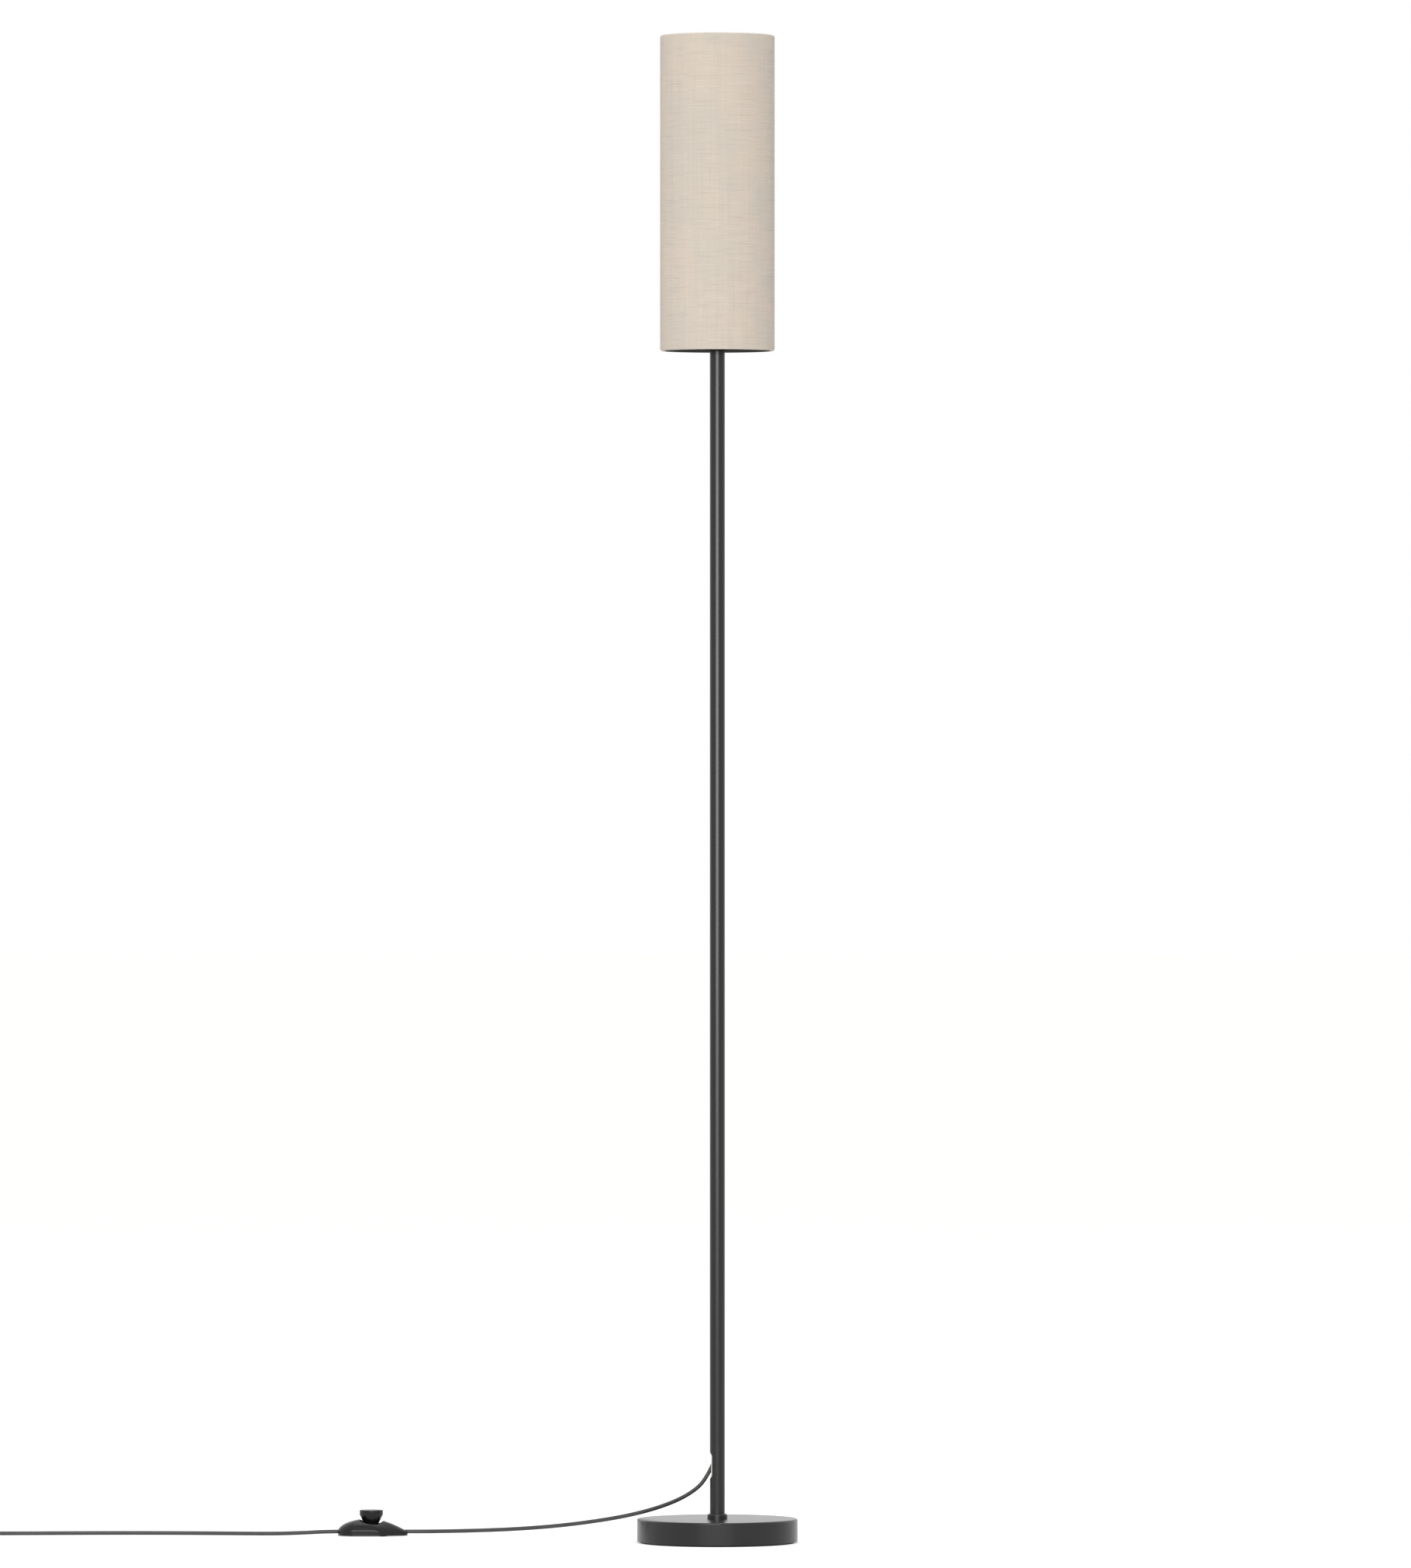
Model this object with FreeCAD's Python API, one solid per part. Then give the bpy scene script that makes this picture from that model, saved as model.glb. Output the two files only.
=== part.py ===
import FreeCAD, Part

import math
import os

# Column floor lamp, in millimetres, +Z up. The origin is the centre of the base on the floor.
# The front is -Y, the right-hand side is +X, and the slot that lets the cord out faces -X.
# Flat faces that are fastened together touch; pieces that move apart keep a named clearance.

V = FreeCAD.Vector
X_AXIS = V(1, 0, 0)
Z_AXIS = V(0, 0, 1)

# ---- Overall ----
lamp_height = 1500.0
shade_height = 314.0
shade_d = 114.0
pole_d = 15.0
base_d = 160.0
base_height = 24.0

# ---- Base: felt pad, iron weight, pressed steel cover ----
pad_t = 1.5
pad_inset = 3.0
pad_hole_gap = 6.0
cover_t = 1.2
cover_edge_r = 1.6
weight_chamfer = 1.0

# ---- Base bolt, up through the weight into the pole's foot ----
bolt_d = 10.0
bolt_clearance = 0.2
bolt_head_flats = 17.0
bolt_head_h = 6.4
bolt_reach = 20.0
bolt_head_clear = 1.1
washer_d = 30.0
washer_gap = 2.0
washer_t = 2.0
lock_washer_d = 18.0
lock_washer_t = 2.5
lock_washer_gap = 1.5

# ---- Pole ----
pole_wall = 1.0
collar_d = 20.0
collar_h = 5.0
collar_edge_r = 1.8
foot_plug_h = 26.0
top_plug_h = 18.0

# ---- Slot for the cord, and the bushing that lines it ----
slot_width = 10.6
slot_height = 27.6
slot_rise = 52.8
bushing_wall = 1.1
bushing_lip = 1.4
bushing_lip_t = 0.8

# ---- Cords ----
cord_d = 4.0
cord_bend_r = 24.0
core_d = 1.9
core_spread = 1.0
cord_end_drop = 1.0

# ---- Shade ----
fabric_t = 0.5
liner_t = 0.4
ring_wire_d = 2.4
hem_depth = 8.0
plate_t = 2.0
plate_gap = 0.5
arm_count = 3
arm_wire_d = 2.4
arm_knee_inset = 10.9
arm_bend_r = 8.0
arm_hole_gap = 0.15
hub_overhang = 2.0
hub_t = 1.5
hub_gap = 0.5

# ---- Lampholder, a screw holder with a threaded skirt ----
nipple_d = 10.0
nipple_wall = 1.7
nipple_in_plug = 15.0
nipple_in_cap = 8.0
nipple_washer_d = 20.0
nipple_washer_t = 1.0
nipple_nut_flats = 14.0
nipple_nut_h = 3.0
cap_foot_d = 24.0
cap_d = 39.0
cap_h = 22.0
cap_shoulder_z = 9.0
cap_wall = 2.0
shoulder_overhang = 3.0
shoulder_t = 2.5
sleeve_d = 40.0
sleeve_h = 36.0
sleeve_bulb_gap = 1.1
insert_ledge = 0.5
insert_h = 7.0
core_hole_x = 6.5
core_hole_y = -4.0
core_hole_gap = 0.1
tongue_rise = 1.6
side_contact_h = 9.0
contact_t = 0.6
contact_w = 6.0
contact_foot_w = 4.8
tongue_past = 3.6
grip_screw_d = 3.0
grip_screw_proud = 0.6
ring_nut_overhang = 2.0
ring_nut_h = 10.0
ring_nut_gap = 0.3
ring_nut_grips = 18
ring_nut_grip_d = 3.0

# ---- Tubular bulb ----
bulb_d = 30.0
bulb_length = 185.0
bulb_glass_t = 1.0
bulb_neck_d = 24.6
bulb_neck_h = 14.0
bulb_shoulder_h = 6.0
bulb_cap_d = 26.2
bulb_cap_h = 22.0
bulb_cap_t = 0.4
bulb_seat_h = 2.0
bulb_tip_h = 3.5
bulb_tip_d = 9.0
bulb_tip_flat_d = 5.2
bulb_tip_rise = 1.0
bulb_cone_inset = 4.0
bulb_seal_h = 1.5
bulb_contact_gap = 0.2
bulb_cap_gap = 0.3
stem_d = 9.0
stem_h = 30.0
stem_foot_t = 2.0
stem_rod_d = 2.4
filament_count = 4
filament_d = 1.6
filament_length = 110.0
filament_circle_d = 12.0
filament_drop = 6.0
star_wire_d = 0.6
star_inset = 2.0

# ---- Foot switch: its knob's axis is its own origin, and its nose points at the lamp ----
switch_x = -347.5
switch_y = 118.0
switch_nose = 36.6
switch_tail = 33.5
switch_half_width = 16.5
switch_height = 17.6
switch_nose_r = 8.0
switch_waist_share = 0.48
dome_shares = (0.0, 0.3, 0.55, 0.75, 0.88, 0.95)
dome_nose_power = 0.62
dome_nose_least = 0.3
switch_wall = 1.8
switch_foot_t = 0.8
switch_foot_d = 7.0
switch_foot_spots = [(-20.0, 0.0), (12.0, 8.0), (12.0, -6.5)]
switch_floor_t = 1.4
cord_entry_z = 4.5
nose_entry_depth = 13.7
tail_entry_depth = 11.6
cord_lead_out = 11.0
cord_entry_gap = 0.1
well_gap = 1.35
well_floor_t = 1.4
knob_d = 23.7
knob_neck_d = 14.0
knob_top_z = 26.2
knob_rim_h = 4.6
knob_edge_r = 0.9
knob_cone_h = 9.6
knob_travel = 3.0
knob_floor_gap = 0.8
plunger_d = 10.0
plunger_bore_d = 7.0
plunger_roof_t = 1.5
plunger_in_knob = 7.5
plunger_flange_d = 15.0
plunger_flange_t = 1.0
plunger_gap = 0.3
spring_wire_d = 0.8
spring_turns = 7
spring_gap = 0.3

# ---- Foot switch: terminals, clamps and screws ----
terminal_l = 6.0
terminal_w = 4.0
terminal_h = 4.0
terminal_x = 16.0
terminal_y = 7.4
terminal_floor = 1.5
terminal_screw_d = 2.4
terminal_screw_head_d = 3.6
terminal_screw_h = 1.2
terminal_slot_w = 0.5
bridge_t = 0.4
bridge_w = 1.6
clamp_l = 3.0
clamp_w = 8.6
clamp_t = 1.2
clamp_inset = 2.1
clamp_screw_d = 1.6
clamp_screw_spacing = 6.0
clamp_post_wall = 0.9
through_core_bend_x = 17.0
through_core_side = (11.0, -9.3)
through_core_y = -10.6
shell_screw_d = 2.6
shell_screw_head_d = 4.6
shell_screw_head_h = 1.2
shell_screw_boss_d = 5.0
shell_screw_spots = [(-23.5, -9.5), (7.0, 12.2)]
shell_screw_reach = 5.5

# ---- Coil of the cord's spare length ----
coil_x = -790.0
coil_y = 101.0
coil_layers = 4
coil_turns_per_layer = 2
coil_mean_d = 44.0
coil_pitch = 4.5
coil_turns_past = 0.25
coil_climb_turns = 0.5
coil_lead_in = 28.0

# ---- Plug: two round pins ----
plug_width = 34.0
plug_thickness = 13.7
plug_length = 34.0
plug_neck_width = 17.0
plug_neck_thickness = 10.5
plug_shoulder = 18.0
plug_chamfer = 4.5
plug_neck_chamfer = 2.7
plug_sleeve_l = 26.0
plug_sleeve_d = 8.4
plug_sleeve_end_d = 5.6
plug_sleeve_ribs = 5
plug_groove_depth = 0.5
plug_groove_share = 0.3
pin_d = 4.0
pin_neck_d = 3.0
pin_sleeve_d = 3.6
pin_sleeve_l = 10.0
pin_length = 19.0
pin_spacing = 18.6
pin_root = 6.0
pin_tip_r = 1.2

# ---- Routes of the cord's free stretches: points chosen by hand ----
exit_drop = 4.8
route_to_switch = [
    V(-12.5, 0.0, 62.5),
    V(-21.0, 0.8, 53.3),
    V(-37.0, 3.1, 43.2),
    V(-60.0, 9.5, 34.0),
    V(-88.0, 20.7, 26.0),
    V(-122.0, 38.0, 19.2),
    V(-160.0, 60.0, 13.3),
    V(-200.0, 83.0, 9.0),
    V(-240.0, 102.5, 6.3),
    V(-280.0, 115.0, 4.8),
]
route_from_switch = [
    V(-415.0, 119.6, 3.1),
    V(-446.0, 123.4, 2.0),
    V(-488.0, 129.6, 2.0),
    V(-538.0, 135.2, 2.0),
    V(-592.0, 137.2, 2.0),
    V(-645.0, 134.8, 2.0),
    V(-690.0, 131.0, 2.0),
    V(-728.0, 128.8, 2.0),
]
tail_drop = [
    V(-3.4, -35.0, -3.0),
    V(-7.5, -54.0, -6.4),
]
tail_lead_out = 17.0
plug_heading_deg = 257.5
plug_run = 18.0
plug_runs = 2

# ---- Places worked out from the sizes ----
pole_r = pole_d / 2
bore_r = pole_r - pole_wall
base_r = base_d / 2
shade_r = shade_d / 2
cord_r = cord_d / 2
cover_top = base_height
weight_top = cover_top - cover_t
bolt_hole_d = bolt_d + 2 * bolt_clearance
bolt_recess_d = washer_d + 2 * washer_gap
recess_roof = pad_t + bolt_head_clear + bolt_head_h + lock_washer_t + washer_t
lock_washer_z = recess_roof - washer_t - lock_washer_t
bolt_head_z = lock_washer_z - bolt_head_h
slot_centre_z = cover_top + slot_rise
exit_point = V(-pole_r, 0, slot_centre_z - exit_drop)
shade_bottom = lamp_height - shade_height
pole_top = shade_bottom
plate_top = pole_top + plate_t
liner_r = shade_r - fabric_t
liner_bore_r = liner_r - liner_t
ring_r = liner_bore_r - ring_wire_d / 2
hem_out_r = shade_r - ring_r
hem_in_r = hem_out_r - fabric_t
top_ring_z = lamp_height - hem_out_r
bottom_ring_z = shade_bottom + hem_out_r
plate_r = ring_r - hem_out_r - plate_gap
arm_knee_r = ring_r - arm_knee_inset
shoulder_d = sleeve_d + 2 * shoulder_overhang
hub_d = shoulder_d + 2 * hub_overhang
ring_nut_d = hub_d + 2 * ring_nut_overhang
sleeve_bore_d = bulb_cap_d + 2 * sleeve_bulb_gap
insert_d = cap_d - 2 * cap_wall - 2 * insert_ledge
nipple_hole_d = nipple_d + 2 * bolt_clearance
nipple_washer_z = plate_top
nipple_nut_z = nipple_washer_z + nipple_washer_t
cap_z = nipple_nut_z + nipple_nut_h
cavity_floor = cap_z + nipple_in_cap
cord_end_z = cavity_floor - cord_end_drop
grip_screw_z = cap_z + nipple_in_cap / 2
shoulder_z = cap_z + cap_h - shoulder_t
sleeve_z = cap_z + cap_h
hub_z = sleeve_z
ring_nut_z = hub_z + hub_t
insert_z = sleeve_z - insert_h
tongue_z = sleeve_z + tongue_rise
bulb_z = tongue_z + contact_t + bulb_contact_gap
bulb_cap_z = bulb_z + bulb_tip_h
bulb_glass_z = bulb_cap_z + bulb_cap_h - bulb_seat_h
bulb_top = bulb_z + bulb_length
switch_floor_z = switch_foot_t + switch_floor_t
nose_cord_end = switch_nose - nose_entry_depth
tail_cord_end = tail_entry_depth - switch_tail
knob_low_z = knob_top_z - knob_rim_h - knob_cone_h
well_d = knob_d + 2 * well_gap
well_floor_z = knob_low_z - knob_travel - knob_floor_gap
well_low_z = well_floor_z - well_floor_t
plunger_top_z = knob_low_z + plunger_in_knob
flange_z = well_low_z - plunger_gap - plunger_flange_t
terminal_top = switch_floor_z + terminal_h
clamp_z = cord_entry_z + cord_r
clamp_centres = (nose_cord_end + clamp_inset, tail_cord_end - clamp_inset)
clamp_post_d = clamp_screw_d + 2 * clamp_post_wall
coil_turns = coil_layers * coil_turns_per_layer + coil_turns_past
coil_outer_r = coil_mean_d / 2 + coil_pitch * coil_turns_per_layer / 2


# ---- Shape helpers ----
def cylinder(d, height, z, x=0.0, y=0.0):
    """A round bar standing on height z."""
    return Part.makeCylinder(d / 2, height, V(x, y, z))


def ring(d, bore_d, height, z, x=0.0, y=0.0):
    """A bar with a bore right through it."""
    return cylinder(d, height, z, x, y).cut(cylinder(bore_d, height + 2, z - 1, x, y))


def box(size_x, size_y, size_z, x, y, z):
    """A block centred on x and y, standing on height z."""
    return Part.makeBox(size_x, size_y, size_z, V(x - size_x / 2, y - size_y / 2, z))


def hexagon(flats, height, z, bore_d=0.0):
    """A hexagonal bar across its flats, with a bore if one is given."""
    corner_r = flats / math.sqrt(3)
    corners = [V(corner_r * math.cos(math.pi * k / 3), corner_r * math.sin(math.pi * k / 3), z)
               for k in range(7)]
    bar = Part.Face(Part.makePolygon(corners)).extrude(V(0, 0, height))
    if bore_d:
        bar = bar.cut(cylinder(bore_d, height + 2, z - 1))
    return bar


def line(start, end):
    return Part.LineSegment(start, end).toShape()


def arc(start, middle, end):
    return Part.Arc(start, middle, end).toShape()


def turned(edges):
    """A solid of revolution about Z from a closed outline in the XZ plane."""
    return Part.Face(Part.Wire(edges)).revolve(V(0, 0, 0), Z_AXIS, 360)


def turned_polygon(points):
    """A solid of revolution about Z from (radius, height) corners."""
    corners = [V(r, 0, z) for r, z in points]
    return turned(Part.makePolygon(corners + corners[:1]).Edges)


def polar(centre_r, centre_z, radius, degrees):
    """A point in the XZ plane on a circle about a point of that plane."""
    angle = math.radians(degrees)
    return V(centre_r + radius * math.cos(angle), 0, centre_z + radius * math.sin(angle))


def rounded_bar(d, height, z, edge_r):
    """A round bar whose top edge is rounded."""
    r = d / 2
    edges = [
        line(V(0, 0, z), V(r, 0, z)),
        line(V(r, 0, z), V(r, 0, z + height - edge_r)),
        arc(V(r, 0, z + height - edge_r), polar(r - edge_r, z + height - edge_r, edge_r, 45),
            V(r - edge_r, 0, z + height)),
        line(V(r - edge_r, 0, z + height), V(0, 0, z + height)),
        line(V(0, 0, z + height), V(0, 0, z)),
    ]
    return turned(edges)


def obround(width, height, depth, centre_z):
    """A slot-shaped bar along -X with full round ends, standing upright."""
    half = height / 2 - width / 2
    r = width / 2
    low = centre_z - half
    high = centre_z + half
    edges = [
        line(V(0, -r, low), V(0, -r, high)),
        arc(V(0, -r, high), V(0, 0, high + r), V(0, r, high)),
        line(V(0, r, high), V(0, r, low)),
        arc(V(0, r, low), V(0, 0, low - r), V(0, -r, low)),
    ]
    return Part.Face(Part.Wire(edges)).extrude(V(-depth, 0, 0))


def tube_along(wire, d):
    """A round tube along a wire, square to it at both ends."""
    start = wire.Edges[0].valueAt(wire.Edges[0].FirstParameter)
    heading = wire.Edges[0].tangentAt(wire.Edges[0].FirstParameter)
    section = Part.Wire(Part.Circle(start, heading, d / 2).toShape())
    return wire.makePipeShell([section], True, False)


def rounded_path(points, bend_r=None):
    """Straight runs joined by tangent arcs, each as large as its two runs allow."""
    edges = []
    radii = []
    last = points[0]
    for before, corner, after in zip(points, points[1:], points[2:]):
        back = before - corner
        ahead = after - corner
        turn = math.pi - back.getAngle(ahead)
        room = 0.45 * min(back.Length, ahead.Length)
        radius = room / math.tan(turn / 2)
        if bend_r is not None:
            radius = min(radius, bend_r)
        reach = radius * math.tan(turn / 2)
        back.normalize()
        ahead.normalize()
        enter = corner + back * reach
        leave = corner + ahead * reach
        inward = back + ahead
        inward.normalize()
        middle = corner + inward * (radius / math.cos(turn / 2) - radius)
        edges.append(line(last, enter))
        edges.append(arc(enter, middle, leave))
        radii.append(radius)
        last = leave
    edges.append(line(last, points[-1]))
    return Part.Wire(edges), radii


def biarc(start, start_heading, end, end_heading):
    """Two arcs that meet smoothly, from one point and heading to another."""
    chord = end - start
    both = start_heading + end_heading
    a = 2 * (1 - start_heading.dot(end_heading))
    b = 2 * chord.dot(both)
    c = -chord.dot(chord)
    reach = (-b + math.sqrt(b * b - 4 * a * c)) / (2 * a) if a > 1e-9 else -c / b
    knee_a = start + start_heading * reach
    knee_b = end - end_heading * reach
    joint = (knee_a + knee_b) * 0.5
    return [arc_by_knee(start, knee_a, joint), arc_by_knee(joint, knee_b, end)]


def arc_by_knee(start, knee, end):
    """The arc from start to end whose end tangents meet at the knee."""
    middle = (start + end) * 0.5
    half = (end - start).Length / 2
    rise = knee - middle
    turn = math.atan2(rise.Length, half)
    rise.normalize()
    return arc(start, middle + rise * (half * math.tan(turn / 2)), end)


def heading_at(point, turns, last_turn):
    """The unit heading of a winding given as a point for each number of turns."""
    step = 0.001
    heading = point(min(turns + step, last_turn)) - point(max(turns - step, 0.0))
    heading.normalize()
    return heading


def wound_wire(point, turns, lead_in=None, lead_out=None):
    """A winding as smooth arcs, two to a quarter turn, with a straight lead at an end if asked."""
    quarters = int(round(turns * 4))
    stations = [turns * k / quarters for k in range(quarters + 1)]
    headings = [heading_at(point, station, turns) for station in stations]
    edges = []
    if lead_in:
        edges.append(line(lead_in, point(0.0)))
    for number in range(quarters):
        edges += biarc(point(stations[number]), headings[number],
                       point(stations[number + 1]), headings[number + 1])
    if lead_out:
        edges.append(line(point(turns), lead_out))
    return Part.Wire(edges)


def cord_stretch(name, points):
    """A free stretch of cord, with its radii and volume printed."""
    wire, radii = rounded_path(points)
    tube = tube_along(wire, cord_d)
    expected = math.pi * cord_r ** 2 * wire.Length
    print(name, "length %.1f" % wire.Length, "least radius %.1f" % min(radii),
          "volume share %.4f" % (tube.Volume / expected))
    return tube


# ---- Base ----
def make_base_pad():
    return ring(base_d - 2 * pad_inset, bolt_recess_d + 2 * pad_hole_gap, pad_t, 0)


def make_base_weight():
    """The iron disc, bored for the bolt, with a recess below for its head."""
    r = base_r - cover_t
    disc = turned_polygon([
        (0, pad_t), (r, pad_t), (r, weight_top - weight_chamfer), (r - weight_chamfer, weight_top),
        (0, weight_top)])
    disc = disc.cut(cylinder(bolt_hole_d, base_height, 0))
    return disc.cut(cylinder(bolt_recess_d, recess_roof, 0))


def make_base_cover():
    """The pressed cover that caps the weight, open below."""
    outside = rounded_bar(base_d, cover_top - pad_t, pad_t, cover_edge_r)
    inner_edge_r = max(cover_edge_r - cover_t, cover_t / 4)
    inside = rounded_bar(base_d - 2 * cover_t, weight_top - pad_t + 1, pad_t - 1, inner_edge_r)
    return outside.cut(inside).cut(cylinder(bolt_hole_d, base_height, pad_t))


def make_base_bolt():
    """A hexagon bolt whose shank ends inside the pole's foot."""
    head = hexagon(bolt_head_flats, bolt_head_h, bolt_head_z)
    shank_top = cover_top + bolt_reach
    shank = cylinder(bolt_d, shank_top - lock_washer_z, lock_washer_z)
    return head.fuse(shank).removeSplitter()


def make_base_washer():
    return ring(washer_d, bolt_hole_d, washer_t, recess_roof - washer_t)


def make_base_lock_washer():
    """A split spring washer."""
    washer = ring(lock_washer_d, bolt_hole_d, lock_washer_t, lock_washer_z)
    split = box(lock_washer_d, lock_washer_gap, lock_washer_t + 2, lock_washer_d / 2, 0,
                lock_washer_z - 1)
    return washer.cut(split)


def make_pole_foot_plug():
    return ring(bore_r * 2, bolt_d, foot_plug_h, cover_top)


def make_pole_collar():
    """The turned ring that covers the joint of pole and base."""
    body = rounded_bar(collar_d, collar_h, cover_top, collar_edge_r)
    return body.cut(cylinder(pole_d, collar_h + 2, cover_top - 1))


# ---- Pole and the cord inside it ----
def make_pole_tube():
    """The column, with an obround slot in its left side for the cord."""
    tube = ring(pole_d, bore_r * 2, pole_top - cover_top, cover_top)
    return tube.cut(obround(slot_width, slot_height, pole_d, slot_centre_z))


def make_cord_bushing():
    """Lines the slot flush with the pole's outside, with a lip behind the wall."""
    shell = ring(pole_d, bore_r * 2, slot_height + 2, slot_centre_z - slot_height / 2 - 1)
    lining = shell.common(obround(slot_width, slot_height, pole_d, slot_centre_z))
    lip_shell = ring(bore_r * 2, (bore_r - bushing_lip_t) * 2, slot_height + 2 * bushing_lip + 2,
                     slot_centre_z - slot_height / 2 - bushing_lip - 1)
    lip = lip_shell.common(obround(min(slot_width + 2 * bushing_lip, bore_r * 1.96),
                                   slot_height + 2 * bushing_lip, pole_d, slot_centre_z))
    opening = obround(slot_width - 2 * bushing_wall, slot_height - 2 * bushing_wall, pole_d,
                      slot_centre_z)
    return lining.fuse(lip).cut(opening).removeSplitter()


def make_pole_top_plug():
    return ring(bore_r * 2, nipple_d, top_plug_h, pole_top - top_plug_h)


def make_cord_in_pole():
    """From the holder's cap down the nipple and the pole, then out through the slot."""
    heading = exit_point - route_to_switch[0]
    rise = heading.z / heading.x
    corner = V(0, 0, exit_point.z - exit_point.x * rise)
    wire, radii = rounded_path([exit_point, corner, V(0, 0, cord_end_z)], cord_bend_r)
    print("cord_in_pole length %.1f" % wire.Length, "radius %.1f" % radii[0])
    return tube_along(wire, cord_d)


# ---- Shade carrier on top of the pole ----
def make_shade_plate():
    """The black disc that closes the shade below."""
    return ring(plate_r * 2, nipple_hole_d, plate_t, pole_top)


def make_holder_nipple():
    low = pole_top - nipple_in_plug
    return ring(nipple_d, nipple_d - 2 * nipple_wall, cavity_floor - low, low)


def make_nipple_washer():
    return ring(nipple_washer_d, nipple_hole_d, nipple_washer_t, nipple_washer_z)


def make_nipple_nut():
    return hexagon(nipple_nut_flats, nipple_nut_h, nipple_nut_z, nipple_d)


# ---- Lampholder ----
def make_holder_cap():
    """The lower half: a threaded foot that widens to a shoulder for the shade's hub."""
    foot_r = cap_foot_d / 2
    body_r = cap_d / 2
    lip_r = shoulder_d / 2
    outside = turned_polygon([
        (0, cap_z), (foot_r, cap_z), (body_r, cap_z + cap_shoulder_z), (body_r, shoulder_z),
        (lip_r, shoulder_z), (lip_r, sleeve_z), (0, sleeve_z)])
    cavity_foot_r = body_r - cap_wall - (cap_shoulder_z - nipple_in_cap)
    cavity = turned_polygon([
        (0, cavity_floor), (cavity_foot_r, cavity_floor),
        (body_r - cap_wall, cap_z + cap_shoulder_z + cap_wall), (body_r - cap_wall, insert_z),
        (insert_d / 2, insert_z), (insert_d / 2, sleeve_z + 1), (0, sleeve_z + 1)])
    grip = Part.makeCylinder(grip_screw_d / 2, cap_foot_d, V(0, 0, grip_screw_z), X_AXIS)
    return outside.cut(cavity).cut(cylinder(nipple_d, cap_h, cap_z - 1)).cut(grip)


def make_holder_grip_screw():
    """The set screw that locks the holder on its nipple."""
    flank_slope = (cap_d - cap_foot_d) / 2 / cap_shoulder_z
    flank_r = cap_foot_d / 2 + (grip_screw_z - cap_z) * flank_slope
    length = flank_r - nipple_d / 2 + grip_screw_proud
    return Part.makeCylinder(grip_screw_d / 2, length, V(nipple_d / 2, 0, grip_screw_z), X_AXIS)


def core_hole(side, height, z):
    """The hole that lets one core through the ceramic block and its contact's foot."""
    return cylinder(core_d + 2 * core_hole_gap, height, z, side * core_hole_x, core_hole_y)


def make_holder_insert():
    """The ceramic block that carries both contacts, bored for the two cores."""
    block = cylinder(insert_d, insert_h, insert_z)
    for side in (-1, 1):
        block = block.cut(core_hole(side, insert_h + 2, insert_z - 1))
    return block


def make_holder_centre_contact():
    """A sprung brass tongue under the bulb's tip."""
    inner_x = core_hole_x - contact_w / 2
    foot = box(contact_w, contact_foot_w, contact_t, core_hole_x, core_hole_y, sleeve_z)
    post = box(contact_t, contact_foot_w, tongue_rise + contact_t, inner_x + contact_t / 2, core_hole_y,
               sleeve_z)
    tongue_l = inner_x + contact_t + tongue_past
    tongue = box(tongue_l, contact_w, contact_t, inner_x + contact_t - tongue_l / 2, core_hole_y / 2,
                 tongue_z)
    contact = foot.fuse(post).fuse(tongue)
    return contact.cut(core_hole(1, contact_t, sleeve_z)).removeSplitter()


def make_holder_side_contact():
    """A brass spring that stands beside the bulb's screw cap."""
    reach = sleeve_bore_d / 2 - core_hole_x + contact_w / 2
    foot = box(reach, contact_foot_w, contact_t, contact_w / 2 - core_hole_x - reach / 2, core_hole_y,
               sleeve_z)
    strip = box(contact_t * 2, contact_foot_w, side_contact_h, contact_t - sleeve_bore_d / 2, core_hole_y,
                sleeve_z)
    inside = cylinder(sleeve_bore_d, side_contact_h, sleeve_z)
    clear = cylinder(bulb_cap_d + 2 * bulb_cap_gap, side_contact_h, bulb_cap_z - bulb_cap_gap)
    contact = foot.fuse(strip).common(inside).cut(clear)
    return contact.cut(core_hole(-1, contact_t, sleeve_z)).removeSplitter()


def make_holder_sleeve():
    """The threaded skirt round the bulb's cap; the ring nut runs on its outside."""
    return ring(sleeve_d, sleeve_bore_d, sleeve_h, sleeve_z)


def make_core(side):
    """One insulated core from the cord's end up to its contact."""
    start = V(side * core_spread, 0, cord_end_z)
    wire, radii = rounded_path([
        start, start + V(0, 0, core_d * 1.3), V(side * core_hole_x, core_hole_y, insert_z - core_d * 2.1),
        V(side * core_hole_x, core_hole_y, sleeve_z + contact_t)])
    return tube_along(wire, core_d)


# ---- Shade ----
def hem_edges(ring_z, up):
    """The fabric folded round a ring and back along the liner: outer run, then inner run."""
    mid_z = ring_z - up * hem_depth * 0.55
    end_z = ring_z - up * hem_depth
    outer = [
        arc(V(shade_r, 0, ring_z), V(ring_r, 0, ring_z + up * hem_out_r), V(ring_r - hem_out_r, 0, ring_z)),
        line(V(ring_r - hem_out_r, 0, ring_z), V(liner_bore_r - fabric_t, 0, mid_z)),
        line(V(liner_bore_r - fabric_t, 0, mid_z), V(liner_bore_r - fabric_t, 0, end_z)),
        line(V(liner_bore_r - fabric_t, 0, end_z), V(liner_bore_r, 0, end_z)),
        line(V(liner_bore_r, 0, end_z), V(liner_bore_r, 0, mid_z)),
        line(V(liner_bore_r, 0, mid_z), V(ring_r - hem_in_r, 0, ring_z)),
        arc(V(ring_r - hem_in_r, 0, ring_z), V(ring_r, 0, ring_z + up * hem_in_r), V(liner_r, 0, ring_z)),
    ]
    return outer


def make_shade_fabric():
    """The linen sleeve, folded in round both rings, with holes for the gallery's arms."""
    edges = [line(V(shade_r, 0, bottom_ring_z), V(shade_r, 0, top_ring_z))]
    edges += hem_edges(top_ring_z, 1)
    edges.append(line(V(liner_r, 0, top_ring_z), V(liner_r, 0, bottom_ring_z)))
    edges += hem_edges(bottom_ring_z, -1)
    sleeve = turned(Part.sortEdges(edges)[0])
    for arm in gallery_arms(arm_wire_d + 2 * arm_hole_gap):
        sleeve = sleeve.cut(arm)
    return sleeve


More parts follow.
